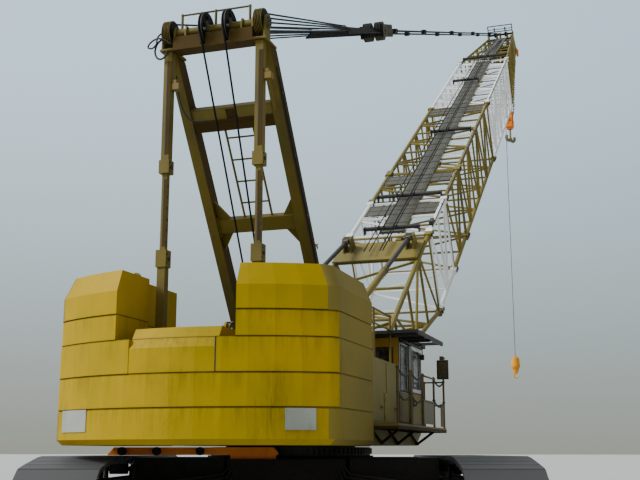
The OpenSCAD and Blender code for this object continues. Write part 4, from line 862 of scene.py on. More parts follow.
@dataclass
class Crawlers:
    """Track knuckles, roller caps, drives, their pipes and the race's teeth, drawn in the lower works' frame."""

    gauge: float = 3.45
    end_y: float = 2.244
    end_r: float = 0.306
    top: float = 0.69
    fall: float = math.radians(8.5)
    count: int = 64
    shoe_half: float = 0.32
    cheek: float = 0.138
    roller_z: float = 0.1423
    roller_span: float = 3.728
    rollers: int = 9
    teeth: int = 96

    def runs(self) -> tuple[float, float, float]:
        """Measures the upper half of one end of the loop.

        Returns:
            Lengths of the arc, of the sloping run and of the level run to the middle.
        """
        slope = (self.top - self.end_r * (1 + math.cos(self.fall))) / math.sin(self.fall)
        crest = self.end_y + self.end_r * math.sin(self.fall) - slope * math.cos(self.fall)
        return self.end_r * (math.pi - self.fall), slope, crest

    def spot(self, s: float, depth: float) -> tuple[float, float]:
        """Finds a place on the track loop.

        Args:
            s: Distance along the loop from the rear of its lower run.
            depth: Distance inwards from the shoes' outer face.

        Returns:
            Place along the crawler and height.
        """
        r, y_end = self.end_r, self.end_y
        arc, slope, crest = self.runs()
        across, down = math.cos(self.fall), math.sin(self.fall)
        if s < 2 * y_end:
            y, z, turn = s - y_end, 0.0, 0.0
        elif (s := s - 2 * y_end) < arc:
            turn = s / r
            y, z = y_end + r * math.sin(turn), r - r * math.cos(turn)
        elif (s := s - arc) < slope:
            y, z, turn = y_end + r * down - s * across, r * (1 + across) + s * down, math.pi - self.fall
        elif (s := s - slope) < 2 * crest:
            y, z, turn = crest - s, self.top, math.pi
        elif (s := s - 2 * crest) < slope:
            y, z, turn = -crest - s * across, self.top - s * down, math.pi + self.fall
        else:
            turn = math.pi + self.fall + (s - slope) / r
            y, z = r * math.sin(turn) - y_end, r - r * math.cos(turn)
        return y - depth * math.sin(turn), z + depth * math.cos(turn)

    def knuckles(self) -> None:
        """Joins the shoes by hinge knuckles and adds their guide lugs."""
        pitch = 2 * (self.end_y + sum(self.runs())) / self.count
        for name, side in zip(("left", "right"), SIDES):
            x = side * self.gauge / 2
            shape = Shape(LOWER_FRAME)
            for i in range(self.count):
                shape.pin((x, *self.spot(i * pitch, 0.025)), self.shoe_half + 0.004, 0.019, 8)
                low, high = (self.spot((i + 0.5) * pitch, depth) for depth in (0.032, 0.068))
                for at in (x + lug * 0.225 + edge * 0.03 for lug in SIDES for edge in SIDES):
                    shape.rod((at, *low), (at, *high), 0.024, 4, 0.014)
            shape.piece(f"track_knuckles_{name}", Body.LOWER, TRACK_STEEL, "track_steel")

    def caps(self) -> None:
        """Adds the roller caps, hub caps, tensioners and drives."""
        shape = Shape(LOWER_FRAME)
        y, z = self.end_y, self.end_r
        for side in SIDES:
            for face in SIDES:
                x = side * self.gauge / 2 + face * self.cheek
                for i in range(self.rollers):
                    at = (x, self.roller_span * (i / (self.rollers - 1) - 0.5), self.roller_z)
                    shape.stub(at, (face * 0.022, 0, 0), 0.046, 20)
                    shape.stub(at, (face * 0.034, 0, 0), 0.02)
                shape.cap((x, y, z), face * 0.03, 0.085, 0.062, 8)
                shape.block((x - 0.012, y - 0.42, z - 0.05), (x + 0.018 * face + 0.012, y - 0.12, z + 0.05), 0.008)
                for rib in (-1.6, -0.8, 0.0, 0.8, 1.6):
                    shape.block((x - 0.006, rib - 0.012, 0.19), (x + face * 0.016 + 0.006, rib + 0.012, 0.44))
            drive = (side * (self.gauge / 2 - self.cheek - 0.1503), -y, z)
            shape.stub(drive, (-side * 0.13, 0, 0), 0.09, 28, 0.075)
            shape.bolt_circle(drive, (-side, 0, 0), 0.145, 16)
            shape.cap((side * (self.gauge / 2 + self.cheek), -y, z), side * 0.025, 0.11, 0.088, 12, 32)
        shape.piece("crawler_fittings", Body.LOWER, TRACK_DARK, "track_steel", smooth=True)

    def lines(self) -> None:
        """Leads the hydraulic pipes from the carbody to the drives and rings the race with teeth."""
        pipes, race = Shape(LOWER_FRAME), Shape(LOWER_FRAME)
        for side in SIDES:
            for k in range(3):
                lift = 0.47 + 0.03 * k
                pipes.chain([(side * (0.45 + 0.03 * k), -1.12, 0.60), (side * (0.5 + 0.03 * k), -1.2, lift),
                             (side * 1.15, -1.45 - 0.05 * k, lift - 0.08),
                             (side * 1.32, -2.12, 0.33 + 0.02 * k)], 0.011)
        pipes.piece("drive_pipes", Body.LOWER, DARK_PAINT, "dark_steel", smooth=True)
        for i in range(self.teeth):
            turn = Matrix.Rotation(math.tau * i / self.teeth, 4, "Z")
            race.block((0.797, -0.014, 0.704), (0.818, 0.014, 0.762), turn=turn)
        race.piece("ring_teeth", Body.LOWER, BARE_STEEL, "bare_steel")

    def build(self) -> None:
        """Builds all fittings of the crawlers."""
        self.knuckles()
        self.caps()
        self.lines()


@dataclass
class BeamHubs:
    """Dark caps on the three round hubs of the orange beam."""

    places: tuple[float, ...] = (0.914, 0.722, 0.481)
    beam_end: float = 1.62
    rear: float = -1.151
    middle: float = 0.73
    radius: float = 0.037

    def build(self) -> None:
        """Builds the caps."""
        shape = Shape(LOWER_FRAME)
        for place in self.places:
            face = (-place * self.beam_end, self.rear, self.middle)
            shape.stub(shift(face, (0, 0.058, 0)), (0, -0.064, 0), self.radius, 28)
            shape.stub(face, (0, -0.018, 0), 0.016, 6)
        shape.piece("beam_hub_caps", Body.LOWER, TRACK_DARK, "track_steel", smooth=True)


@dataclass
class StepPlates:
    """Dark step plates between the carbody and the crawlers."""

    inner: float = 0.56
    outer: float = 1.36
    end: float = 1.14
    depth: float = 0.42
    top: float = 0.672
    drop: float = 0.3

    def build(self) -> None:
        """Builds the plates with their turned-down edges."""
        shape = Shape(LOWER_FRAME)
        for side in SIDES:
            for way in SIDES:
                x0, x1, y = side * self.inner, side * self.outer, way * self.end
                shape.block((x0, y, self.top - 0.012), (x1, y - way * self.depth, self.top), 0.002)
                shape.block((x0, y, self.top - self.drop), (x1, y - way * 0.012, self.top - 0.004), 0.002)
        shape.piece("step_plates", Body.LOWER, TRACK_DARK, "track_steel")


@dataclass
class FullTubes:
    """Lattice sections and reeving lines at the thickness of their painted or greased tubes."""

    growth: float = 0.005
    rope_growth: float = 0.006
    sections: tuple[tuple[str, str], ...] = (
        ("boom_butt", "frame_yellow"), ("boom_insert_1", "section_white"), ("boom_insert_2", "frame_yellow"),
        ("boom_insert_3", "frame_yellow"), ("boom_insert_4", "section_white"))
    butt_reach: tuple[float, float] = (0.5, 4.3)
    ropes_end: float = 3.35

    def swell(self, node: bpy.types.Object, growth: float, held: Callable[[Vector], bool], body: Body) -> None:
        """Stands a fuller copy of a node in the node's place.

        Args:
            node: The CAD node.
            growth: How far its skin moves out.
            held: Tells which points move.
            body: The body it rides on.
        """
        mesh = bmesh.new()
        mesh.from_mesh(node.data)
        bmesh.ops.remove_doubles(mesh, verts=mesh.verts, dist=1e-5)
        bmesh.ops.recalc_face_normals(mesh, faces=mesh.faces)
        mesh.normal_update()
        for vert in mesh.verts:
            if held(vert.co):
                vert.co += vert.normal * growth
        name = f"{node.name}_tubes"
        made = enter(name, to_mesh(name, mesh, *node.data.materials))
        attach(made, body.value)
        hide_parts(node.name)

    def build(self, nodes: dict[str, bpy.types.Object]) -> None:
        """Builds the fuller copies.

        Args:
            nodes: The frame's nodes by name.
        """
        home = BOOM_FRAME.inverted()
        low, high = self.butt_reach
        for name, slot in self.sections:
            held = (lambda p: low < (home @ p).y < high) if name == "boom_butt" else (lambda p: True)
            self.swell(nodes[name], self.growth, held, Body.BOOM)
        self.swell(nodes["bridle"], self.rope_growth, lambda p: p.y < self.ropes_end, Body.PENDANTS)


@dataclass
class Counterweight:
    """The stacked counterweight's small fittings."""

    middle_y: float = -0.67
    plate_r: float = 2.0975
    plates: tuple[tuple[float, float, float, float], ...] = ((-27.0, 0.349, 0.877, 1.051), (28.0, 0.235, 0.883, 1.045))
    plate_steps: int = 6
    eyes: tuple[Point, ...] = ((0.9, -1.89, 2.196), (-0.9, -1.89, 2.196), (0.282, -2.33, 1.706))
    bow: tuple[Point, ...] = ((-0.022, 0.0, 0.0), (-0.024, 0.03, 0.028), (-0.03, 0.065, 0.04), (0.0, 0.1, 0.045),
                              (0.03, 0.065, 0.04), (0.024, 0.03, 0.028), (0.022, 0.0, 0.0))
    inner_eye: Point = (0.67, -2.1, 2.165)

    def placards(self) -> None:
        """Sets two blank plates round the curved face of the base slab."""
        for number, (turn, width, low, high) in enumerate(self.plates, start=1):
            shape = Shape()
            half = math.degrees(width / 2 / self.plate_r)
            step = width / self.plate_steps / 2 + 0.0006
            for i in range(self.plate_steps):
                a = math.radians(turn - half + (2 * i + 1) * half / self.plate_steps)
                spin = Matrix.Translation((0, self.middle_y, 0)) @ Matrix.Rotation(a, 4, "Z")
                shape.block((-step, -self.plate_r, low), (step, -self.plate_r + 0.008, high), turn=spin)
            for edge in (-0.9, 0.9):
                a = math.radians(turn + edge * half)
                out = Vector((math.sin(a), -math.cos(a), 0.0))
                for z in (low + 0.014, high - 0.014):
                    foot = Vector((0, self.middle_y, z)) + out * (self.plate_r - 0.002)
                    shape.stub(tuple(foot), tuple(out * 0.004), 0.004, 8)
            shape.piece(f"blank_plate_{number}", Body.UPPER, PLAIN_PLATE, "weight_yellow")

    def lifting(self) -> None:
        """Hangs a bow shackle in each eye, stands the loops on top and puts a dark strip of painted shade in the centre
        block's gap.
        """
        shackles, loops, gap = Shape(), Shape(), Shape()
        for eye in self.eyes:
            shackles.pin(eye, 0.034, 0.0125, 16)
            shackles.stub(shift(eye, (0.026, 0, 0)), (0.014, 0, 0), 0.021, 6)
            shackles.chain([shift(eye, corner) for corner in self.bow], 0.009, 10)
        shackles.piece("shackles", Body.UPPER, BARE_STEEL, "bare_steel", smooth=True)
        x, y, z = self.inner_eye
        for side in SIDES:
            loops.disc((side * x, y, z + 0.03), (0, 1, 0), 0.042, 0.024, 0.02, 24)
            loops.box((side * x, y, z + 0.001), (0.1, 0.04, 0.01), 0.002)
        loops.piece("lifting_loops", Body.UPPER, RAIL_OLIVE, "weight_yellow", smooth=True)
        # Painted shade: a dark strip in the gap of the centre block.
        gap.block((0.3625, -2.7298, 1.32), (0.3695, -2.70, 1.585))
        gap.piece("centre_block_gap_shade", Body.UPPER, DARK_PAINT, "dark_steel")

    def tie_rods(self) -> None:
        """Adds the tie rods' nuts and the tie plates on the slabs' front ends."""
        shape = Shape()
        for x in (side * place for side in SIDES for place in (0.78, 1.12)):
            for z in (0.92, 1.19, 1.45, 1.69):
                shape.box((x, -1.364, z), (0.09, 0.012, 0.09), 0.003)
                shape.stub((x, -1.36, z), (0, 0.022, 0), 0.022, 6)
                shape.stub((x, -1.34, z), (0, 0.015, 0), 0.012)
        shape.piece("tie_rods", Body.UPPER, BARE_STEEL, "bare_steel")

    def build(self) -> None:
        """Builds all fittings of the counterweight."""
        self.placards()
        self.lifting()
        self.tie_rods()


@dataclass
class House:
    """Doors, roof fittings and the exhaust of the machinery houses."""

    inner: float = 0.695
    outer: float = 1.17
    rear: float = -1.364
    low: float = 0.95
    high: float = 1.55
    fronts: tuple[tuple[int, float], ...] = ((-1, 0.70), (1, -0.176))
    panel: float = 0.5
    louvres: int = 7

    def doors(self) -> None:
        """Adds handles and hinges to the side doors, panels on the right and louvres with painted shade behind them on
        the left.
        """
        metal, dark, plain = Shape(), Shape(), Shape()
        for side, front in self.fronts:
            face = side * (self.outer + 0.005)
            for y in paces(self.rear + 0.1, front - self.panel, 0.52):
                for z in (0.08, 0.24):
                    metal.stub((face, y + 0.012, self.low + z - 0.02), (0, 0, 0.04), 0.007, 8)
                lock = (face, y + 0.395, self.low + 0.17)
                metal.block(shift(lock, (0, -0.025, -0.02)), shift(lock, (side * 0.004, 0.025, 0.02)))
                metal.stub(lock, (side * 0.018, 0, 0), 0.008)
                metal.block(shift(lock, (side * 0.012, -0.02, -0.008)), shift(lock, (side * 0.02, 0.02, 0.008)), 0.002)
        for y in (self.rear + 0.165, self.rear + 0.7):
            plain.block((self.outer + 0.0005, y, self.low + 0.3), (self.outer + 0.0055, y + 0.49, self.low + 0.585),
                        0.001)
        # A dark sheet behind the louvres is painted shade inside the house.
        dark.block((0.02 - self.outer, self.rear + 0.17, self.low + 0.31),
                   (0.016 - self.outer, self.rear + 1.15, self.low + 0.58))
        for bay in (0.19, 0.75):
            for i in range(self.louvres):
                tilt = Matrix.Translation((-self.outer - 0.002, 0, self.low + 0.345 + i * 0.036)) @ Matrix.Rotation(
                    -math.radians(35), 4, "Y")
                metal.block((-0.009, self.rear + bay, -0.0012), (0.009, self.rear + bay + 0.38, 0.0012), turn=tilt)
        metal.piece("house_door_fittings", Body.UPPER, HOUSE_OLIVE, "panel_olive", smooth=True)
        dark.piece("louvre_painted_shade", Body.UPPER, DARK_PAINT, "dark_steel")
        plain.piece("house_door_panels", Body.UPPER, HOUSE_OLIVE, "panel_olive")

    def roof(self) -> None:
        """Adds bolted roof panels, the exhaust, the air cleaner and two filler caps."""
        panels, stack = Shape(), Shape()
        for side, front in self.fronts:
            x0, x1 = sorted((side * (self.inner + 0.02), side * (self.outer - 0.045)))
            for y in paces(self.rear + 0.05, front - self.panel, 0.53):
                panels.block((x0, y, self.high), (x1, y + 0.48, self.high + 0.012), 0.004)
                for at in ((x, y + dy, self.high + 0.012) for dy in (0.1, 0.38) for x in (x0 + 0.03, x1 - 0.03)):
                    panels.bolt(at, (0, 0, 1))
        panels.piece("house_roof_panels", Body.UPPER, HOUSE_OLIVE, "panel_olive")
        x, y, z = -0.93, -0.55, self.high
        for lift, tall, radius in ((0.0, 0.04, 0.075), (0.03, 0.11, 0.055), (0.06, 0.012, 0.059),
                                   (0.11, 0.012, 0.059)):
            stack.stub((x, y, z + lift), (0, 0, tall), radius, 24)
        stack.chain([(x, y, z + 0.13), (x, y, z + 0.2), (x, y - 0.05, z + 0.235)], 0.028, 16)
        stack.stub((x, 0.15, z), (0, 0, 0.16), 0.07, 28)
        stack.stub((x, 0.15, z + 0.15), (0, 0, 0.05), 0.092, 28, 0.06)
        for y in (-0.36, -0.1):
            stack.stub((-0.80, y, z), (0, 0, 0.03), 0.028, 16)
        stack.piece("exhaust_and_air_cleaner", Body.UPPER, BARE_STEEL, "bare_steel", smooth=True)

    def build(self) -> None:
        """Builds all fittings of the houses."""
        self.doors()
        self.roof()


@dataclass
class Walkway:
    """Mirror, grating bars, edge, post chains and feet along the right side."""

    inner: float = 1.175
    outer: float = 1.445
    rear: float = -1.35
    front: float = 0.75
    top: float = 0.945
    post_x: float = 1.435
    posts: tuple[float, ...] = (-1.31, -0.805, -0.30, 0.205, 0.71)
    chain_z: tuple[float, ...] = (1.435, 1.225)
    bars: int = 70

    def mirror(self) -> None:
        """Gives the mirror its face, rounded rim and clamp."""
        x, y, low, high = self.post_x, 0.684, 1.465, 1.665
        face, rim, clamp = Shape(), Shape(), Shape()
        face.block((x - 0.05, y - 0.004, low + 0.012), (x + 0.05, y - 0.0005, high - 0.012), 0.0015)
        face.piece("mirror_glass", Body.UPPER, MIRROR_FACE, "bare_steel")
        for side in SIDES:
            rim.rod((x + side * 0.053, y, low + 0.012), (x + side * 0.053, y, high - 0.012), 0.009, 10)
        for z in (low + 0.008, high - 0.008):
            rim.pin((x, y, z), 0.048, 0.009, 10)
        rim.piece("mirror_rim", Body.UPPER, DARK_PAINT, "dark_steel", smooth=True)
        clamp.block((x - 0.022, y + 0.004, high), (x + 0.022, y + 0.026, high + 0.03), 0.004)
        clamp.pin((x, y + 0.012, high + 0.022), 0.03, 0.008, 10)
        clamp.piece("mirror_clamp", Body.UPPER, CAB_YELLOW, "frame_yellow", smooth=True)

    def grating(self) -> None:
        """Lays the bearing bars and the edge strips."""
        shape, edge = Shape(), Shape()
        for y in (self.rear + 0.012 + i * 0.03 for i in range(self.bars)):
            shape.block((self.inner, y, self.top), (self.outer, y + 0.004, self.top + 0.006))
        for x in (1.24, 1.31, 1.38):
            shape.block((x, self.rear, self.top), (x + 0.004, self.front, self.top + 0.005))
        shape.piece("walkway_bars", Body.UPPER, RAIL_BROWN, "rail_brown")
        low, high, side = self.top - 0.006, self.top + 0.016, self.outer + 0.004
        edge.block((self.outer + 0.0005, self.rear, low), (side, self.front, high))
        edge.block((self.inner, self.rear - 0.004, low), (side, self.rear - 0.0005, high))
        edge.piece("walkway_edge", Body.UPPER, RAIL_OLIVE, "panel_olive")

    def chains(self) -> None:
        """Hangs the post chains and their eyes."""
        shape = Shape()
        for a, b in ((0, 1), (1, 2), (3, 4)):
            for z in self.chain_z:
                shape.links((self.post_x, self.posts[a] + 0.012, z), (self.post_x, self.posts[b] - 0.012, z), 0.055)
        for y in self.posts:
            for z in self.chain_z:
                shape.disc((self.post_x, y, z), (0, 0, 1), 0.0165, 0.0108, 0.012, 16)
        shape.piece("post_chains", Body.UPPER, BARE_STEEL, "bare_steel")

    def feet(self) -> None:
        """Sets a bolted foot under each post and a knob on top."""
        shape = Shape()
        for y in self.posts:
            shape.box((self.post_x - 0.01, y, self.top + 0.005), (0.044, 0.048, 0.01))
            for dy in (-0.016, 0.016):
                shape.bolt((self.post_x - 0.024, y + dy, self.top + 0.01), (0, 0, 1), 0.005, 0.005)
            shape.ball((self.post_x, y, 1.445), 0.0125, 12)
        shape.piece("post_feet", Body.UPPER, RAIL_BROWN, "rail_brown", smooth=True)

    def build(self) -> None:
        """Builds the walkway's fittings."""
        self.mirror()
        self.grating()
        self.chains()
        self.feet()


@dataclass
class Cab:
    """Window frames, wipers, lamps, handles and controls of the cab."""

    inner: float = 0.695
    outer: float = 1.17
    rear: float = -0.17
    front: float = 0.78
    low: float = 0.96
    roof: float = 1.82
    skin: float = 0.004
    lamp_x: tuple[float, ...] = (0.78, 1.08)

    def frames(self) -> None:
        """Frames every window and gives the door its battens, lower panel and handle."""
        shape, door, sill, handle = Shape(), Shape(), Shape(), Shape()
        left, right = self.inner + 0.07, self.outer - 0.07
        for low, high, width, flat in (
            ((left, self.rear - self.skin, 1.42), (right, self.rear + 0.002, 1.715), 0.016, 1),
            ((left, self.front - 0.002, 1.08), (right, self.front + self.skin, 1.75), 0.018, 1),
            ((self.outer - 0.002, self.rear + 0.09, 1.32), (self.outer + self.skin, 0.23, 1.75), 0.016, 0),
            ((self.inner - self.skin, self.rear + 0.12, 1.38), (self.inner + 0.002, 0.69, 1.75), 0.016, 0),
        ):
            shape.rim(low, high, width, flat)
        shape.piece("window_frames", Body.UPPER, DARK_PAINT, "dark_steel")
        door.rim((1.2, 0.33, 1.37), (1.2065, 0.64, 1.72), 0.018, 0)
        for z in (0.985, 1.3):
            door.block((1.2015, 0.285, z), (1.206, 0.685, z + 0.015), 0.001)
        for y in (0.272, 0.69):
            door.block((1.2005, y, 0.985), (1.2055, y + 0.012, 1.75), 0.001)
        door.piece("door_frame", Body.DOOR, DARK_PAINT, "dark_steel")
        sill.block((1.2002, 0.286, 1.001), (1.2035, 0.684, 1.299), 0.001)
        sill.piece("door_lower_panel", Body.DOOR, HOUSE_OLIVE, "panel_olive")
        handle.block((1.202, 0.30, 1.17), (1.208, 0.34, 1.24), 0.002)
        handle.chain([(1.205, 0.32, 1.18), (1.232, 0.32, 1.185), (1.232, 0.32, 1.225), (1.205, 0.32, 1.23)], 0.006)
        handle.stub((1.2, 0.5, 1.73), (0.016, 0, 0), 0.01)
        handle.piece("door_handle", Body.DOOR, DARK_PAINT, "dark_steel", smooth=True)

    def outside(self) -> None:
        """Adds the lower panel, wipers, grab bars, seams, mirror arm, drip rail and roof ribs."""
        lower, shape, ribs = Shape(), Shape(), Shape()
        lower.block((self.outer + 0.0005, self.rear + 0.02, self.low + 0.03), (self.outer + 0.004, 0.236, 1.295), 0.001)
        lower.piece("cab_lower_panel", Body.UPPER, HOUSE_OLIVE, "panel_olive")
        x = self.inner + 0.2
        for y, way, z, reach in ((self.front, 1, 1.05, 0.36), (self.rear, -1, 1.39, 0.22)):
            shape.stub((x, y, z), (0, way * 0.022, 0), 0.012)
            shape.rod((x, y + way * 0.018, z), (x + 0.09, y + way * 0.016, z + reach), 0.004)
            shape.box((x + 0.088, y + way * 0.01, z + reach - 0.02), (0.01, 0.006, 0.24))
        x, y = self.outer - 0.03, self.rear - 0.002
        for foot, run, lift, tall in (((self.outer, 0.745, 1.12), (0.035, 0, 0), 0.005, 0.385),
                                      ((x, y, 1.08), (0, -0.033, 0), 0.01, 0.29)):
            out = shift(foot, run)
            shape.chain([foot, shift(out, (0, 0, lift)), shift(out, (0, 0, tall - lift)), shift(foot, (0, 0, tall))],
                        0.008)
        for y in (self.rear + 0.006, self.rear + 0.06, 0.238, 0.75):
            shape.block((self.outer, y, self.low + 0.02), (self.outer + 0.005, y + 0.012, 1.79), 0.001)
        for z in (1.0, 1.3):
            shape.block((self.outer, self.rear + 0.02, z), (self.outer + self.skin, 0.24, z + 0.008))
        shape.stub((1.236, 0.62, 1.72), (0, 0, 0.115), 0.006, 8)
        shape.block((1.216, 0.598, 1.665), (1.256, 0.642, 1.722), 0.006)
        shape.block((self.inner - 0.016, self.front + 0.118, self.roof - 0.012),
                    (self.outer + 0.042, self.front + 0.124, self.roof + 0.032), 0.002)
        shape.piece("cab_outside_fittings", Body.UPPER, DARK_PAINT, "dark_steel", smooth=True)
        for x in (0.76, 0.93, 1.10):
            ribs.block((x - 0.02, self.rear + 0.02, 1.85), (x + 0.02, self.front + 0.08, 1.856), 0.002)
        ribs.block((0.87, 0.2, 1.856), (1.0, 0.42, 1.875), 0.006)
        ribs.piece("cab_roof_ribs", Body.UPPER, DARK_PAINT, "dark_steel")

    def lamps(self) -> None:
        """Adds the work lamps in their bowls."""
        bowls, glass = Shape(), Shape()
        y, z = 0.87, 1.88
        for x in self.lamp_x:
            bowls.stub((x, y, z), (0, 0.05, 0), 0.026, 24, 0.043)
            bowls.disc((x, y + 0.05, z), (0, 1, 0), 0.046, 0.038, 0.008, 28)
            bowls.stub((x, y + 0.02, z - 0.03), (0, 0, 0.03), 0.008)
            glass.stub((x, y + 0.049, z), (0, 0.004, 0), 0.038, 24)
        bowls.piece("lamp_bowls", Body.UPPER, DARK_PAINT, "dark_steel", smooth=True)
        glass.piece("lamp_fronts", Body.UPPER, LAMP_GLASS, "bare_steel")

    def controls(self) -> None:
        """Adds levers, pedals, armrests and the headrest."""
        shape = Shape()
        x = 0.9325
        for at in (x - 0.075 + 0.05 * k for k in range(4)):
            shape.rod((at, 0.5, 1.33), (at, 0.47, 1.45), 0.005)
            shape.ball((at, 0.468, 1.458), 0.014)
        for side in SIDES:
            shape.box((x + side * 0.15, 0.13, 1.285), (0.05, 0.22, 0.03), 0.006)
            shape.stub((x + side * 0.15, 0.1, 1.18), (0, 0, 0.1), 0.01)
            shape.box((x + side * 0.09, 0.63, 0.9825), (0.06, 0.06, 0.035), 0.004)
        shape.block((x - 0.09, 0.485, 1.331), (x + 0.09, 0.555, 1.37), 0.006)
        shape.block((x - 0.08, -0.035, 1.52), (x + 0.08, 0.01, 1.62), 0.012)
        shape.piece("cab_controls", Body.UPPER, SEAT_VINYL, "dark_steel", smooth=True)

    def build(self) -> None:
        """Builds all fittings of the cab."""
        self.frames()
        self.outside()
        self.lamps()
        self.controls()


def tangent(point: tuple[float, float], middle: tuple[float, float], radius: float,
            side: int) -> tuple[float, float]:
    """Finds where a line from a point touches a circle.

    Args:
        point: The point, as two coordinates.
        middle: The circle's middle.
        radius: The circle's radius.
        side: Which of the two touching places, 1 or -1.

    Returns:
        The touching place.
    """
    dx, dy = point[0] - middle[0], point[1] - middle[1]
    turn = math.atan2(dy, dx) + side * math.acos(radius / math.hypot(dx, dy))
    return middle[0] + radius * math.cos(turn), middle[1] + radius * math.sin(turn)


@dataclass
class Winches:
    """Rope layers, brake bands and motors on the three winches."""

    half: float = 0.30
    rows: tuple[Point, ...] = ((-1.25, 1.23, 0.144), (-0.64, 1.26, 0.1656), (-0.06, 1.26, 0.1656))
    wraps: int = 33
    rope: float = 0.009
    flange: float = 1.39

    def build(self) -> None:
        """Winds each drum and closes its ends."""
        ropes, ends = Shape(), Shape()
        for y, z, r in self.rows:
            bumps = [(r - 0.01, -self.half)]
            for k in range(self.wraps):
                at = -self.half + (2 * k + 1) * self.half / self.wraps
                bumps += [(r + 0.002, at - self.rope), (r + 0.014, at - self.rope * 0.5),
                          (r + 0.014, at + self.rope * 0.5)]
            bumps += [(r + 0.002, self.half), (r - 0.01, self.half)]
            ropes.ring((0, y, z), (1, 0, 0), bumps, 32)
            band = r * self.flange
            for side in SIDES:
                ends.stub((side * 0.354, y, z), (side * 0.05, 0, 0), 0.085, 28, 0.07)
                ends.bolt_circle((side * 0.354, y, z), (side, 0, 0), 0.1, 8)
                ends.disc((side * 0.334, y, z), (1, 0, 0), band + 0.012, band - 0.012, 0.01, 40)
        ropes.piece("winch_ropes", Body.UPPER, ROPE_STEEL, "rope_steel")
        ends.piece("winch_ends", Body.UPPER, BARE_STEEL, "bare_steel", smooth=True)


def smooth_route(points: list[Vector], steps: int) -> list[Vector]:
    """Draws a smooth line through a cable's points.

    Args:
        points: The points that the cable passes.
        steps: Number of pieces between two points.

    Returns:
        The finer points.
    """
    ends = [points[0], *points, points[-1]]
    fine: list[Vector] = []
    for a, b, c, d in zip(ends, ends[1:], ends[2:], ends[3:]):
        for t in (i / steps for i in range(steps)):
            fine.append(0.5 * (2 * b + (c - a) * t + (2 * a - 5 * b + 4 * c - d) * t * t
                               + (3 * b - a - 3 * c + d) * t ** 3))
    return [*fine, points[-1]]


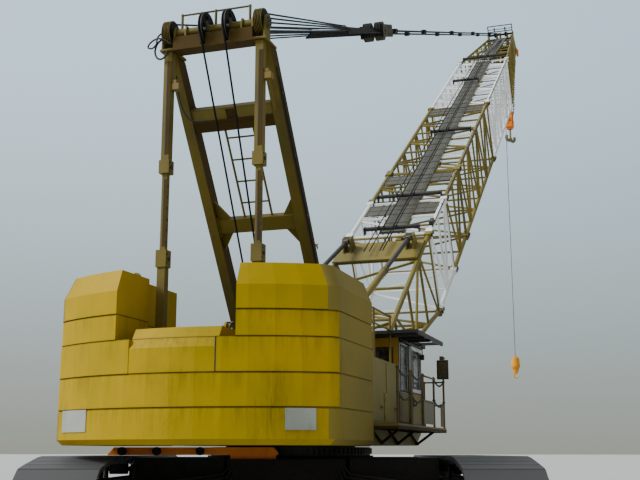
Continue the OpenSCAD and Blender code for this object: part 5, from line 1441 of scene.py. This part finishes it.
@dataclass
class Gantry:
    """Ropes, steps, pins, sheave flanges and stay fittings of the gantry."""

    guide_x: tuple[float, ...] = (-0.088, 0.136)
    head: tuple[float, float] = (-2.05, 4.425)
    guide_r: float = 0.148
    drum: tuple[float, float] = (-0.64, 1.26)
    drum_r: float = 0.18
    rope_r: float = 0.009
    leg_x: float = 0.45
    leg_len: float = 4.109
    stay_x: float = 0.44
    stay_y: float = -2.06
    run_turn: float = math.atan2(8.37086, 20.180766)
    rope_reach: tuple[float, float] = (3.51, 3.80)
    bridle: float = 5.85
    cables: tuple[tuple[float, tuple[Point, ...]], ...] = (
        (0.008, ((-0.40, -2.13, 4.30), (-0.47, -2.14, 4.35), (-0.54, -2.14, 4.36), (-0.60, -2.14, 4.33),
                 (-0.62, -2.14, 4.29), (-0.58, -2.14, 4.275), (-0.54, -2.14, 4.31), (-0.53, -2.14, 4.37),
                 (-0.50, -2.13, 4.41))),
        (0.009, ((-0.48, -2.12, 4.37), (-0.54, -2.12, 4.32), (-0.56, -2.12, 4.25), (-0.54, -2.12, 4.19),
                 (-0.50, -2.12, 4.17), (-0.46, -2.12, 4.19), (-0.44, -2.12, 4.24))),
        (0.008, ((-0.405, -1.99, 4.05), (-0.406, -1.95, 3.93), (-0.39, -1.91, 3.80), (-0.35, -1.88, 3.70),
                 (-0.30, -1.86, 3.655), (-0.25, -1.84, 3.645), (-0.15, -1.82, 3.65))),
    )

    def ropes(self) -> None:
        """Leads two ropes from the guide sheaves down to the middle winch."""
        shape = Shape()
        for x, side in zip(self.guide_x, SIDES):
            drum = (self.drum[0] - side * self.drum_r * 0.9, self.drum[1] + 0.06)
            shape.rod((x, *tangent(drum, self.head, self.guide_r + self.rope_r, -1)), (x, *drum), self.rope_r, 10)
        shape.piece("gantry_ropes", Body.UPPER, ROPE_STEEL, "rope_steel", smooth=True)

    def flanges(self) -> None:
        """Adds the rope grooves' flanges to the hoist and guide sheaves."""
        hoist, guide = Shape(), Shape()
        for x in (side * 0.44 + 0.014 * (k - 2.5) for side in SIDES for k in range(6)):
            hoist.disc((x, *self.head), (1, 0, 0), 0.121, 0.05, 0.004)
        hoist.piece("hoist_sheave_flanges", Body.FAN, GANTRY_YELLOW, "frame_yellow")
        for x in self.guide_x:
            for side in SIDES:
                guide.disc((x + side * 0.0135, *self.head), (1, 0, 0), 0.158, 0.143, 0.005, 40)
            guide.disc((x, *self.head), (1, 0, 0), 0.056, 0.039, 0.04)
        guide.piece("sheave_flanges", Body.FAN, BARE_STEEL, "rope_steel")

    def run_point(self, x: float, along: float, lift: float) -> Point:
        """Finds a place on the run of the hoist ropes.

        Args:
            x: Place across the crane.
            along: Distance from the head along the ropes.
            lift: Distance above them.

        Returns:
            The place.
        """
        across, up = math.cos(self.run_turn), math.sin(self.run_turn)
        return x, self.head[0] + along * across - lift * up, self.head[1] + along * up + lift * across

    def rope_ends(self) -> None:
        """Lengthens the hoist ropes, so that they reach the bridle's ropes at the lowest boom."""
        shape = Shape()
        for side in SIDES:
            for i in range(5):
                near, far = 0.44 + 0.014 * (2 - i), 0.13 - 0.022 * i
                level = (i - 2) * 0.11 * 0.16 + 0.008
                ends = (self.run_point(side * (near + (far - near) * y / self.bridle), y, level + lift)
                        for y, lift in zip(self.rope_reach, (0.002, 0.004)))
                shape.rod(*ends, self.rope_r * 0.7, 8)
        shape.piece("hoist_rope_ends", Body.FAN, ROPE_STEEL, "rope_steel", smooth=True)

    def steps(self) -> None:
        """Adds steps, flange plates with their bolts, foot pins and grease lines to the legs."""
        shape, lines = Shape(LEG_FRAME), Shape(LEG_FRAME)
        x = self.leg_x
        for z in (1.62, 1.90):
            shape.block((x - 0.062, 0.073, z), (x + 0.062, 0.125, z + 0.008), 0.001)
            shape.block((x - 0.062, 0.073, z - 0.03), (x - 0.056, 0.1, z))
            shape.block((x + 0.056, 0.073, z - 0.03), (x + 0.062, 0.1, z))
        for side in SIDES:
            face = side * 0.388
            for z in (self.leg_len * 0.54, self.leg_len * 0.805):
                shape.block((side * 0.4, -0.062, z - 0.1), (face, 0.062, z + 0.1), 0.001)
                for at in ((face, dy, z + dz) for dy in (-0.048, 0.048) for dz in (-0.08, 0.08)):
                    shape.bolt(at, (-side, 0, 0), 0.009)
            shape.stub((side * (x + 0.03), 0, 0), (side * 0.083, 0, 0), 0.03, 20)
        shape.piece("gantry_steps", Body.UPPER, GANTRY_YELLOW, "weight_yellow", smooth=True)
        for x in (side * (self.leg_x + 0.054) for side in SIDES):
            for y, end in ((-0.02, 0.4), (0.0, 0.5)):
                lines.rod((x, y, 0.3), (x, y, self.leg_len - end), 0.004, 8)
            for z in (0.45 + k * 0.6 for k in range(6)):
                lines.block((x - 0.006, -0.03, z), (x + 0.006, 0.01, z + 0.02))
        lines.piece("gantry_lines", Body.UPPER, DARK_PAINT, "dark_steel", smooth=True)

    def head_fittings(self) -> None:
        """Adds the head's pin keepers, bolts and the bent cables at its left end."""
        shape, cable = Shape(), Shape()
        y, z = self.head
        for side in SIDES:
            at = (side * 0.51, y, z)
            shape.disc(at, (1, 0, 0), 0.05, 0.02, 0.012)
            shape.bolt_circle(at, (side, 0, 0), 0.035, 6, 0.007, 0.012)
            for dy in (-0.05, 0.03, 0.12):
                for x in (0.49, 0.42):
                    shape.bolt((side * x, y + dy, 4.261), (0, 0, 1), 0.012, 0.012)
        shape.piece("head_fittings", Body.UPPER, BARE_STEEL, "bare_steel")
        for radius, route in self.cables:
            cable.chain(smooth_route([Vector(p) for p in route], 6), radius, 10)
        cable.piece("head_cable", Body.UPPER, DARK_PAINT, "dark_steel", smooth=True)

    def stays(self) -> None:
        """Adds pins, bolts and brackets to the telescoping backstays, with painted shade in their slots and on their
        side faces.
        """
        pins, bright, dark, shade = Shape(), Shape(), Shape(), Shape()
        y = self.stay_y
        for x in (side * self.stay_x for side in SIDES):
            for z in (2.35, 3.17):
                pins.pin((x, y, z), 0.062, 0.016, 16)
                for dz in (-0.04, 0.04):
                    for way in (1, -1):
                        pins.bolt((x + way * 0.049, y - 0.03, z + dz), (way, 0, 0), 0.008, 0.006)
            for z in (2.5 + 0.1 * k for k in range(6)):
                pins.pin((x, y, z), 0.0265, 0.013)
            pins.pin((x, y, 1.11), 0.075, 0.025, 20)
            bright.block((x + 0.036, -2.09, 3.88), (x + 0.112, -2.03, 3.94), 0.003)
            bright.block((x + 0.036, -2.085, 3.94), (x + 0.085, -2.035, 3.975), 0.003)
            # Dark strips are painted shade in the slots; the blocks beside them are painted shade on the stays' faces.
            for low, high, reach in ((1.2, 2.24, 0.0275), (2.46, 3.06, 0.0275), (3.28, 4.15, 0.0375)):
                face = y - reach
                dark.block((x - 0.004, face - 0.002, low), (x + 0.004, face + 0.002, high))
                shade.block((x + 0.004, face - 0.001, low), (x + reach, face + 0.002, high))
        bright.rod((0.505, -2.05, 3.9), (0.452, -1.72, 3.72), 0.011, 8)
        pins.piece("stay_pins", Body.UPPER, BARE_STEEL, "bare_steel", smooth=True)
        bright.piece("stay_brackets", Body.UPPER, RAIL_OLIVE, "weight_yellow")
        shade.piece("stay_shaded_faces", Body.UPPER, GANTRY_SHADE_BROWN, "frame_yellow")
        dark.piece("stay_slot_shade", Body.UPPER, DARK_PAINT, "dark_steel")

    def upper_beam(self) -> None:
        """Faces the beam between the legs with its channel, in painted shade brown, and its plate."""
        beam, plate = Shape(LEG_FRAME), Shape(LEG_FRAME)
        z, back = self.leg_len * 0.805, -0.0553
        # The channel's blocks take the painted shade brown.
        beam.block((-0.4, -0.066, z - 0.125), (0.4, back, z - 0.02))
        beam.block((-0.4, -0.075, z - 0.035), (0.4, back, z - 0.015), 0.002)
        beam.block((-0.06, -0.0575, z - 0.02), (0.05, back, z + 0.075))
        beam.piece("upper_beam_channel", Body.UPPER, GANTRY_SHADE_BROWN, "frame_yellow")
        plate.block((-0.395, -0.0565, z - 0.02), (0.395, back, z + 0.082))
        plate.piece("upper_beam_plate", Body.UPPER, BOOM_YELLOW, "frame_yellow")

    def build(self) -> None:
        """Builds all fittings of the gantry."""
        self.ropes()
        self.flanges()
        self.rope_ends()
        self.steps()
        self.head_fittings()
        self.stays()
        self.upper_beam()


@dataclass
class Boom:
    """Fittings along the lattice boom, drawn in the boom's own frame."""

    joints: tuple[float, ...] = (4.575, 6.1, 7.625, 12.2, 16.775)
    half_w: float = 0.6
    top: float = 0.1625
    low: float = -1.0625
    tip_end: float = 21.35
    rollers: tuple[Point, ...] = (
        (4.68, -0.37, 0.45), (6.15, -0.48, 0.55), (9.95, -0.22, 0.54), (14.4, -0.42, 0.17), (16.95, -0.52, 0.55))
    line_x: tuple[float, ...] = (-0.15, -0.07, 0.08, 0.12)
    line_r: float = 0.008
    sheave_x: tuple[float, ...] = (-0.28, -0.21, 0.03, 0.085, 0.14, 0.275)
    foot_pin: Point = (0.69, 0.43, 1.165)

    def pins(self) -> None:
        """Adds the joint pins, their heads and the keepers at every section joint."""
        shape = Shape(BOOM_FRAME)
        for s, side, n in product(self.joints, SIDES, (self.top, self.low)):
            x = side * self.half_w
            for y in (s - 0.05, s + 0.05):
                shape.pin((x, y, n), 0.058, 0.019, 14)
                shape.stub((x + side * 0.052, y, n), (side * 0.014, 0, 0), 0.027, 14)
                shape.stub((x - side * 0.056, y, n - 0.03), (0, 0, 0.06), 0.004)
        shape.piece("boom_joint_pins", Body.BOOM, BARE_STEEL, "bare_steel", smooth=True)

    def hoist_lines(self) -> None:
        """Runs the hoist lines over the cross rollers to the head."""
        shape = Shape(BOOM_FRAME)
        over, last = self.top + 0.135, self.rollers[-1][0]
        for x in self.line_x:
            route = [(x, 3.7, over), (x, last, over), (x, self.tip_end - 0.50, -0.01), (x, self.tip_end - 0.03, -0.335)]
            for start, end in zip(route, route[1:]):
                shape.rod(start, end, self.line_r, 8)
        shape.piece("hoist_lines", Body.BOOM, ROPE_STEEL, "rope_steel", smooth=True)

    def cross_rollers(self) -> None:
        """Sets the rollers that carry the hoist lines over the boom."""
        rolls, stands = Shape(BOOM_FRAME), Shape(BOOM_FRAME)
        n = self.top + 0.095
        for s, x0, x1 in self.rollers:
            rolls.rod((x0 + 0.02, s, n), (x1 - 0.02, s, n), 0.032, 20)
            for x in (x0, x1):
                rolls.pin((x, s, n), 0.012, 0.018)
                stands.block((x - 0.008, s - 0.05, self.top + 0.012), (x + 0.008, s + 0.05, n + 0.03), 0.002)
        rolls.pin((0, self.tip_end - 0.5, -0.045), 0.34, 0.026, 20)
        rolls.piece("cross_rollers", Body.BOOM, DARK_PAINT, "dark_steel", smooth=True)
        stands.piece("roller_stands", Body.BOOM, DARK_PAINT, "dark_steel")

    def cable(self) -> None:
        """Clips the electric cable along the right upper chord."""
        shape = Shape(BOOM_FRAME)
        x, n, turn = self.half_w + 0.022, self.top + 0.03, 16.7
        shape.rod((x, 4.6, n), (x, turn, n), 0.008, 8)
        shape.rod((x, turn, n), (0.37, self.tip_end - 0.6, 0.0), 0.008, 8)
        for s in paces(5.0, 16.6, 0.76):
            shape.block((x - 0.02, s, n - 0.02), (x + 0.011, s + 0.02, n + 0.011))
        shape.block((0.57, 4.82, self.top + 0.034), (0.63, 4.98, self.top + 0.1), 0.004)
        shape.piece("boom_cable", Body.BOOM, DARK_PAINT, "dark_steel")

    def head(self) -> None:
        """Adds flanges and hub rollers to the head sheaves, and the head's bolted pins and lamp."""
        shape, extras = Shape(BOOM_FRAME), Shape(BOOM_FRAME)
        s, n = self.tip_end - 0.05, -0.57
        nose = (self.tip_end + 0.27, -0.52)
        for x in self.sheave_x:
            for side in SIDES:
                shape.disc((x + side * 0.0125, s, n), (1, 0, 0), 0.243, 0.228, 0.005, 44)
            for a in (math.tau * k / 6 for k in range(6)):
                shape.pin((x, s + 0.14 * math.cos(a), n + 0.14 * math.sin(a)), 0.0165, 0.03, 16)
        for side in SIDES:
            shape.disc((-0.055 + side * 0.0125, *nose), (1, 0, 0), 0.172, 0.158, 0.005, 36)
            for at, size in (((s, n), 0.07), (nose, 0.055), ((self.tip_end - 0.17, 0.04), 0.05)):
                extras.disc((side * 0.369, *at), (1, 0, 0), size, 0.02, 0.012)
                extras.bolt_circle((side * 0.375, *at), (side, 0, 0), size * 0.72, 6, 0.008)
        shape.piece("head_sheave_flanges", Body.BOOM, BARE_STEEL, "bare_steel", smooth=True)
        extras.block((0.30, self.tip_end - 0.44, -0.03), (0.36, self.tip_end - 0.34, 0.03), 0.004)
        extras.piece("head_fittings_boom", Body.BOOM, BOOM_YELLOW, "frame_yellow", smooth=True)

    def grating_frames(self) -> None:
        """Lays the flat bars that frame the grating strip and its mats, and hangs the limit switch box."""
        shape, switch = Shape(BOOM_FRAME), Shape()
        low, high = self.top + 0.02, self.top + 0.0295
        first, last = self.joints[0], self.joints[-1]
        for s in paces(first + 0.12, last - 0.1, 0.381):
            shape.block((-0.16, s, low), (0.21, s + 0.016, high))
        for x in (-0.16, 0.198):
            shape.block((x, first + 0.09, low), (x + 0.012, last - 0.05, high))
        for joint in self.joints[1:4]:
            for s in (joint - back for back in (0.64, 0.43, 0.216)):
                shape.block((-0.558, s, low), (0.558, s + 0.016, high))
            for x in (-0.558, -0.36, 0.36, 0.546):
                shape.block((x, joint - 0.64, low), (x + 0.012, joint - 0.2, high))
        shape.piece("grating_frames", Body.BOOM, BARE_STEEL, "bare_steel")
        switch.block((0.375, 18.70, 12.30), (0.435, 18.78, 12.52), 0.01)
        switch.piece("limit_switch_box", Body.BOOM, HOOK_ORANGE, "orange_paint")

    def tip_strip(self) -> None:
        """Lays the grating strip over the sloping tip."""
        start, end = 17.0, self.tip_end - 0.55
        fall = math.atan2(-0.05 - self.top, 4.275)
        rise = self.top + 0.032 + (start - self.joints[-1]) * math.tan(fall)
        place = Matrix.Translation((0.0, start, rise)) @ Matrix.Rotation(fall, 4, "X")
        strip = Shape(BOOM_FRAME)
        strip.block((-0.1, 0.0, 0.0), (0.22, (end - start) / math.cos(fall), 0.012), turn=place)
        strip.piece("tip_grating", Body.BOOM, DECK_MESH, "bare_steel")

    def foot(self) -> None:
        """Adds the foot pins' heads."""
        shape = Shape()
        x, y, z = self.foot_pin
        for side in SIDES:
            shape.cap((side * x, y, z), side * 0.02, 0.056, 0.038, 6)
        shape.piece("foot_pin_heads", Body.UPPER, BARE_STEEL, "bare_steel", smooth=True)

    def build(self) -> None:
        """Builds all fittings of the boom."""
        self.pins()
        self.hoist_lines()
        self.cross_rollers()
        self.cable()
        self.head()
        self.grating_frames()
        self.tip_strip()
        self.foot()


@dataclass
class Backstops:
    """Bands, stop collars and bolts of the backstops."""

    x: float = 0.45
    tube_len: float = 2.36
    length: float = 3.9631

    def build(self) -> None:
        """Builds the bands on the tubes and the collars on the rods."""
        tubes, rods = Shape(STOP_FRAME), Shape(STOP_FRAME)
        for x in (side * self.x for side in SIDES):
            for s in (0.3, 1.2, self.tube_len - 0.03):
                tubes.disc((x, s, 0), (0, 1, 0), 0.05, 0.04, 0.04, 28)
            tubes.bolt_circle((x, self.tube_len - 0.01, 0), (0, 1, 0), 0.043, 6, 0.006)
            rods.disc((x, self.length - 0.16, 0), (0, 1, 0), 0.044, 0.028, 0.06, 28)
            rods.box((x, self.length - 0.095, 0), (0.068, 0.09, 0.068), 0.006)
        tubes.piece("backstop_bands", Body.TUBES, BOOM_YELLOW, "frame_yellow", smooth=True)
        rods.piece("backstop_collars", Body.RODS, BARE_STEEL, "dark_steel", smooth=True)


@dataclass
class Rigging:
    """Pins of the bridle and of the pendants' links."""

    links: tuple[float, ...] = (6.72, 9.07, 12.07, 15.07, 18.07)
    bridle: float = 6.0

    def build(self) -> None:
        """Builds the pins and the bridle's flanges and bolts."""
        shape = Shape(RUN_FRAME)
        for side in SIDES:
            x = side * 0.15
            for y in self.links:
                for s in (y - 0.055, y + 0.055):
                    shape.pin((x, s, 0), 0.04, 0.014)
                    shape.stub((x + 0.034, s, 0), (0.008, 0, 0), 0.021)
                shape.block((x - 0.032, y - 0.085, -0.026), (x - 0.0262, y + 0.085, 0.026))
            for at in (side * 0.086 + 0.022 * (k - 2.5) for k in range(6)):
                shape.disc((at, self.bridle, 0), (1, 0, 0), 0.138, 0.126, 0.003)
            for at in ((side * 0.172, y, z) for y in (6.24, 6.40) for z in (-0.05, 0.05)):
                shape.bolt(at, (side, 0, 0), 0.012, 0.01)
            shape.disc((side * 0.176, self.bridle, 0), (1, 0, 0), 0.05, 0.02, 0.01)
        shape.piece("rigging_pins", Body.PENDANTS, BARE_STEEL, "rope_steel", smooth=True)


@dataclass
class Hooks:
    """Bolts, weights, horns and the switch chain of the main hook, and the ball's fittings."""

    main: Point = (0.085, 18.8075, 10.4011)
    block_r: float = 0.11
    ball: Point = (-0.055, 18.9779, 3.1682)
    ball_r: float = 0.12
    horn_steps: int = 11
    beads: int = 24

    def block(self) -> None:
        """Adds the main hook block's bolts, flanges and cheek weights."""
        x, y, z = self.main
        r = self.block_r
        shape, cheeks = Shape(), Shape()
        for side in SIDES:
            face = x + side * 0.088
            for at in ((face, y + dy, z + dz * r) for dy in (-0.04, 0.04) for dz in (1.95, -2.6)):
                shape.bolt(at, (side, 0, 0), 0.009)
            shape.disc((x + side * 0.096, y, z), (1, 0, 0), 0.045, 0.015, 0.01)
            shape.disc((x + side * 0.012, y, z), (1, 0, 0), r + 0.006, r - 0.006, 0.004)
            a, b = x + side * 0.0882, x + side * 0.112
            cheeks.block((a, y - 0.075, z - 0.27), (b, y + 0.075, z - 0.07), 0.006)
            cheeks.block((a, y - 0.06, z + 0.06), (b, y + 0.06, z + 0.19), 0.006)
        shape.disc((x, y, z - 3.05 * r), (0, 0, 1), 0.05, 0.02, 0.03, 8)
        shape.piece("main_hook_fittings", Body.MAIN_HOOK, BARE_STEEL, "bare_steel", smooth=True)
        cheeks.block((x - 0.074, y - 0.085, z - 0.27), (x + 0.074, y + 0.085, z - 0.1), 0.008)
        cheeks.block((x - 0.05, y - 0.045, z + 0.115), (x + 0.05, y + 0.045, z + 0.2), 0.006)
        cheeks.piece("hook_block_weights", Body.MAIN_HOOK, HOOK_ORANGE, "orange_paint")

    def horns(self) -> None:
        """Bends the two horns of the main hook and hangs the limit switch's chain."""
        x, y, z = self.main
        bowl = self.block_r * 0.8
        turned = Matrix.Rotation(math.radians(56), 4, "Z")
        forging, chain = Shape(Matrix.Translation((x, y, z - 5.5 * self.block_r)) @ turned), Shape()
        turns = [math.pi * (1.0 + 1.2 * t / self.horn_steps) for t in range(self.horn_steps + 1)]
        for side in SIDES:
            forging.chain([(side * bowl * (1 + math.cos(t)), 0.0, bowl * math.sin(t)) for t in turns], 0.045, 16)
        forging.piece("hook_horns", Body.MAIN_HOOK, HOOK_STEEL, "bare_steel", smooth=True)
        top, foot = Vector((0.335, y - 0.06, z + 2.0)), Vector((x + 0.12, y, z + 0.12))
        for k in range(self.beads):
            chain.ball(foot.lerp(top, (k + 1) / (self.beads + 1)), 0.023, 8)
        chain.rod(tuple(foot), tuple(top), 0.006, 6)
        chain.piece("switch_chain", Body.MAIN_HOOK, DARK_PAINT, "dark_steel", smooth=True)

    def overhaul(self) -> None:
        """Adds the ball's swivel, seams and sleeve."""
        fittings, sleeve = Shape(), Shape()
        fittings.stub(shift(self.ball, (0, 0, 0.055)), (0, 0, 0.055), 0.03, 20, 0.018)
        fittings.stub(shift(self.ball, (0, 0, 0.11)), (0, 0, 0.13), 0.016, 16, 0.011)
        for lift in (-0.05, 0.0, 0.05):
            girth = math.sqrt(self.ball_r ** 2 - lift ** 2)
            fittings.disc(shift(self.ball, (0, 0, lift - 0.06)), (0, 0, 1), girth + 0.002, 0.08, 0.006)
        fittings.piece("ball_fittings", Body.AUX_HOOK, BARE_STEEL, "bare_steel", smooth=True)
        for foot, tall, radius, sides, end in ((-0.06, 0.21, 0.128, 28, 0.105), (0.15, 0.06, 0.105, 28, 0.05),
                                               (-0.27, 0.12, 0.05, 24, 0.095)):
            sleeve.stub(shift(self.ball, (0, 0, foot)), (0, 0, tall), radius, sides, end)
        sleeve.piece("ball_sleeve", Body.AUX_HOOK, BALL_YELLOW, "orange_paint", smooth=True)

    def build(self) -> None:
        """Builds the fittings of both hooks."""
        self.block()
        self.horns()
        self.overhaul()


@dataclass(frozen=True)
class Concrete(Surface):
    """The plain matt ground of the studio."""

    tint: str

    def inputs(self, g: Graph, place: Socket) -> dict[str, object]:
        """Colours the ground evenly.

        Args:
            g: The material's graph.
            place: Socket with the object's coordinates.

        Returns:
            Sockets and values by the names of the shader's inputs.
        """
        return {"Base Color": linear(self.tint), "Roughness": 0.9}


@dataclass
class Studio:
    """Floor, world, lights and the camera at the photograph's angle."""

    eye: Point = (3.4635, -9.6455, 0.7215)
    pitch: float = 12.05
    yaw: float = 18.1
    lens: float = 55.9
    floor_half: float = 300.0
    suns: tuple[tuple[str, float, float, Point], ...] = (
        ("key", 3.8, 22.0, (50.0, 0.0, -58.0)), ("fill", 0.2, 80.0, (62.0, 0.0, 75.0)))

    def floor(self) -> None:
        """Lays a plain pale floor."""
        mesh = bmesh.new()
        bmesh.ops.create_grid(mesh, x_segments=1, y_segments=1, size=self.floor_half)
        ground = enter("studio_floor", to_mesh("studio_floor", mesh, Concrete("studio_floor", "b3b5b3").material()))

    def lights(self) -> None:
        """Sets a soft key and fill over a pale world, with a plain backdrop behind."""
        world = bpy.data.worlds.new("studio_air")
        world.use_nodes = True
        g = Graph(world.node_tree)
        parts = g.axes(g.add("TexCoord").outputs["Generated"])
        height = g.spread(parts["Z"], -0.08, 0.42)
        across = g.spread(parts["X"], -0.7, 0.7)
        air, low, high = (g.mix(across, linear(left), linear(right)) for left, right in (
            ("eef4f8", "8d938f"), ("8b8a7b", "8f9388"), ("d2ecfb", "aecadb")))
        seen = g.add("LightPath").outputs["Is Camera Ray"]
        g.feed(world.node_tree.nodes["Background"],
               {"Color": g.mix(seen, air, g.mix(height, low, high)), "Strength": 1.25})
        bpy.context.scene.world = world
        for name, strength, spread, turn in self.suns:
            lamp = bpy.data.lights.new(name, "SUN")
            lamp.energy, lamp.angle = strength, math.radians(spread)
            enter(name, lamp).rotation_euler = [math.radians(t) for t in turn]

    def camera(self) -> None:
        """Sets the camera low behind the crane, looking up along the boom."""
        data = bpy.data.cameras.new("camera")
        data.lens, data.sensor_width, data.clip_end = self.lens, 36.0, 1000.0
        made = enter("camera", data)
        made.location = self.eye
        made.rotation_euler = (math.radians(90.0 + self.pitch), 0.0, math.radians(self.yaw))
        bpy.context.scene.camera = made

    def build(self) -> None:
        """Sets up the whole studio."""
        self.floor()
        self.lights()
        self.camera()


def main() -> None:
    """Loads the frame, dresses it and adds every fitting."""
    logging.basicConfig(level=logging.INFO, format="%(name)s %(message)s")
    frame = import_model()
    dress_nodes(frame["nodes"])
    FullTubes().build(frame["nodes"])
    for part in (Crawlers(), BeamHubs(), StepPlates(), Counterweight(), House(), Walkway(), Cab(), Winches(),
                 Gantry(), Boom(), Backstops(), Rigging(), Hooks()):
        part.build()
    Studio().build()
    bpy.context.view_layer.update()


if __name__ == "__main__":
    main()
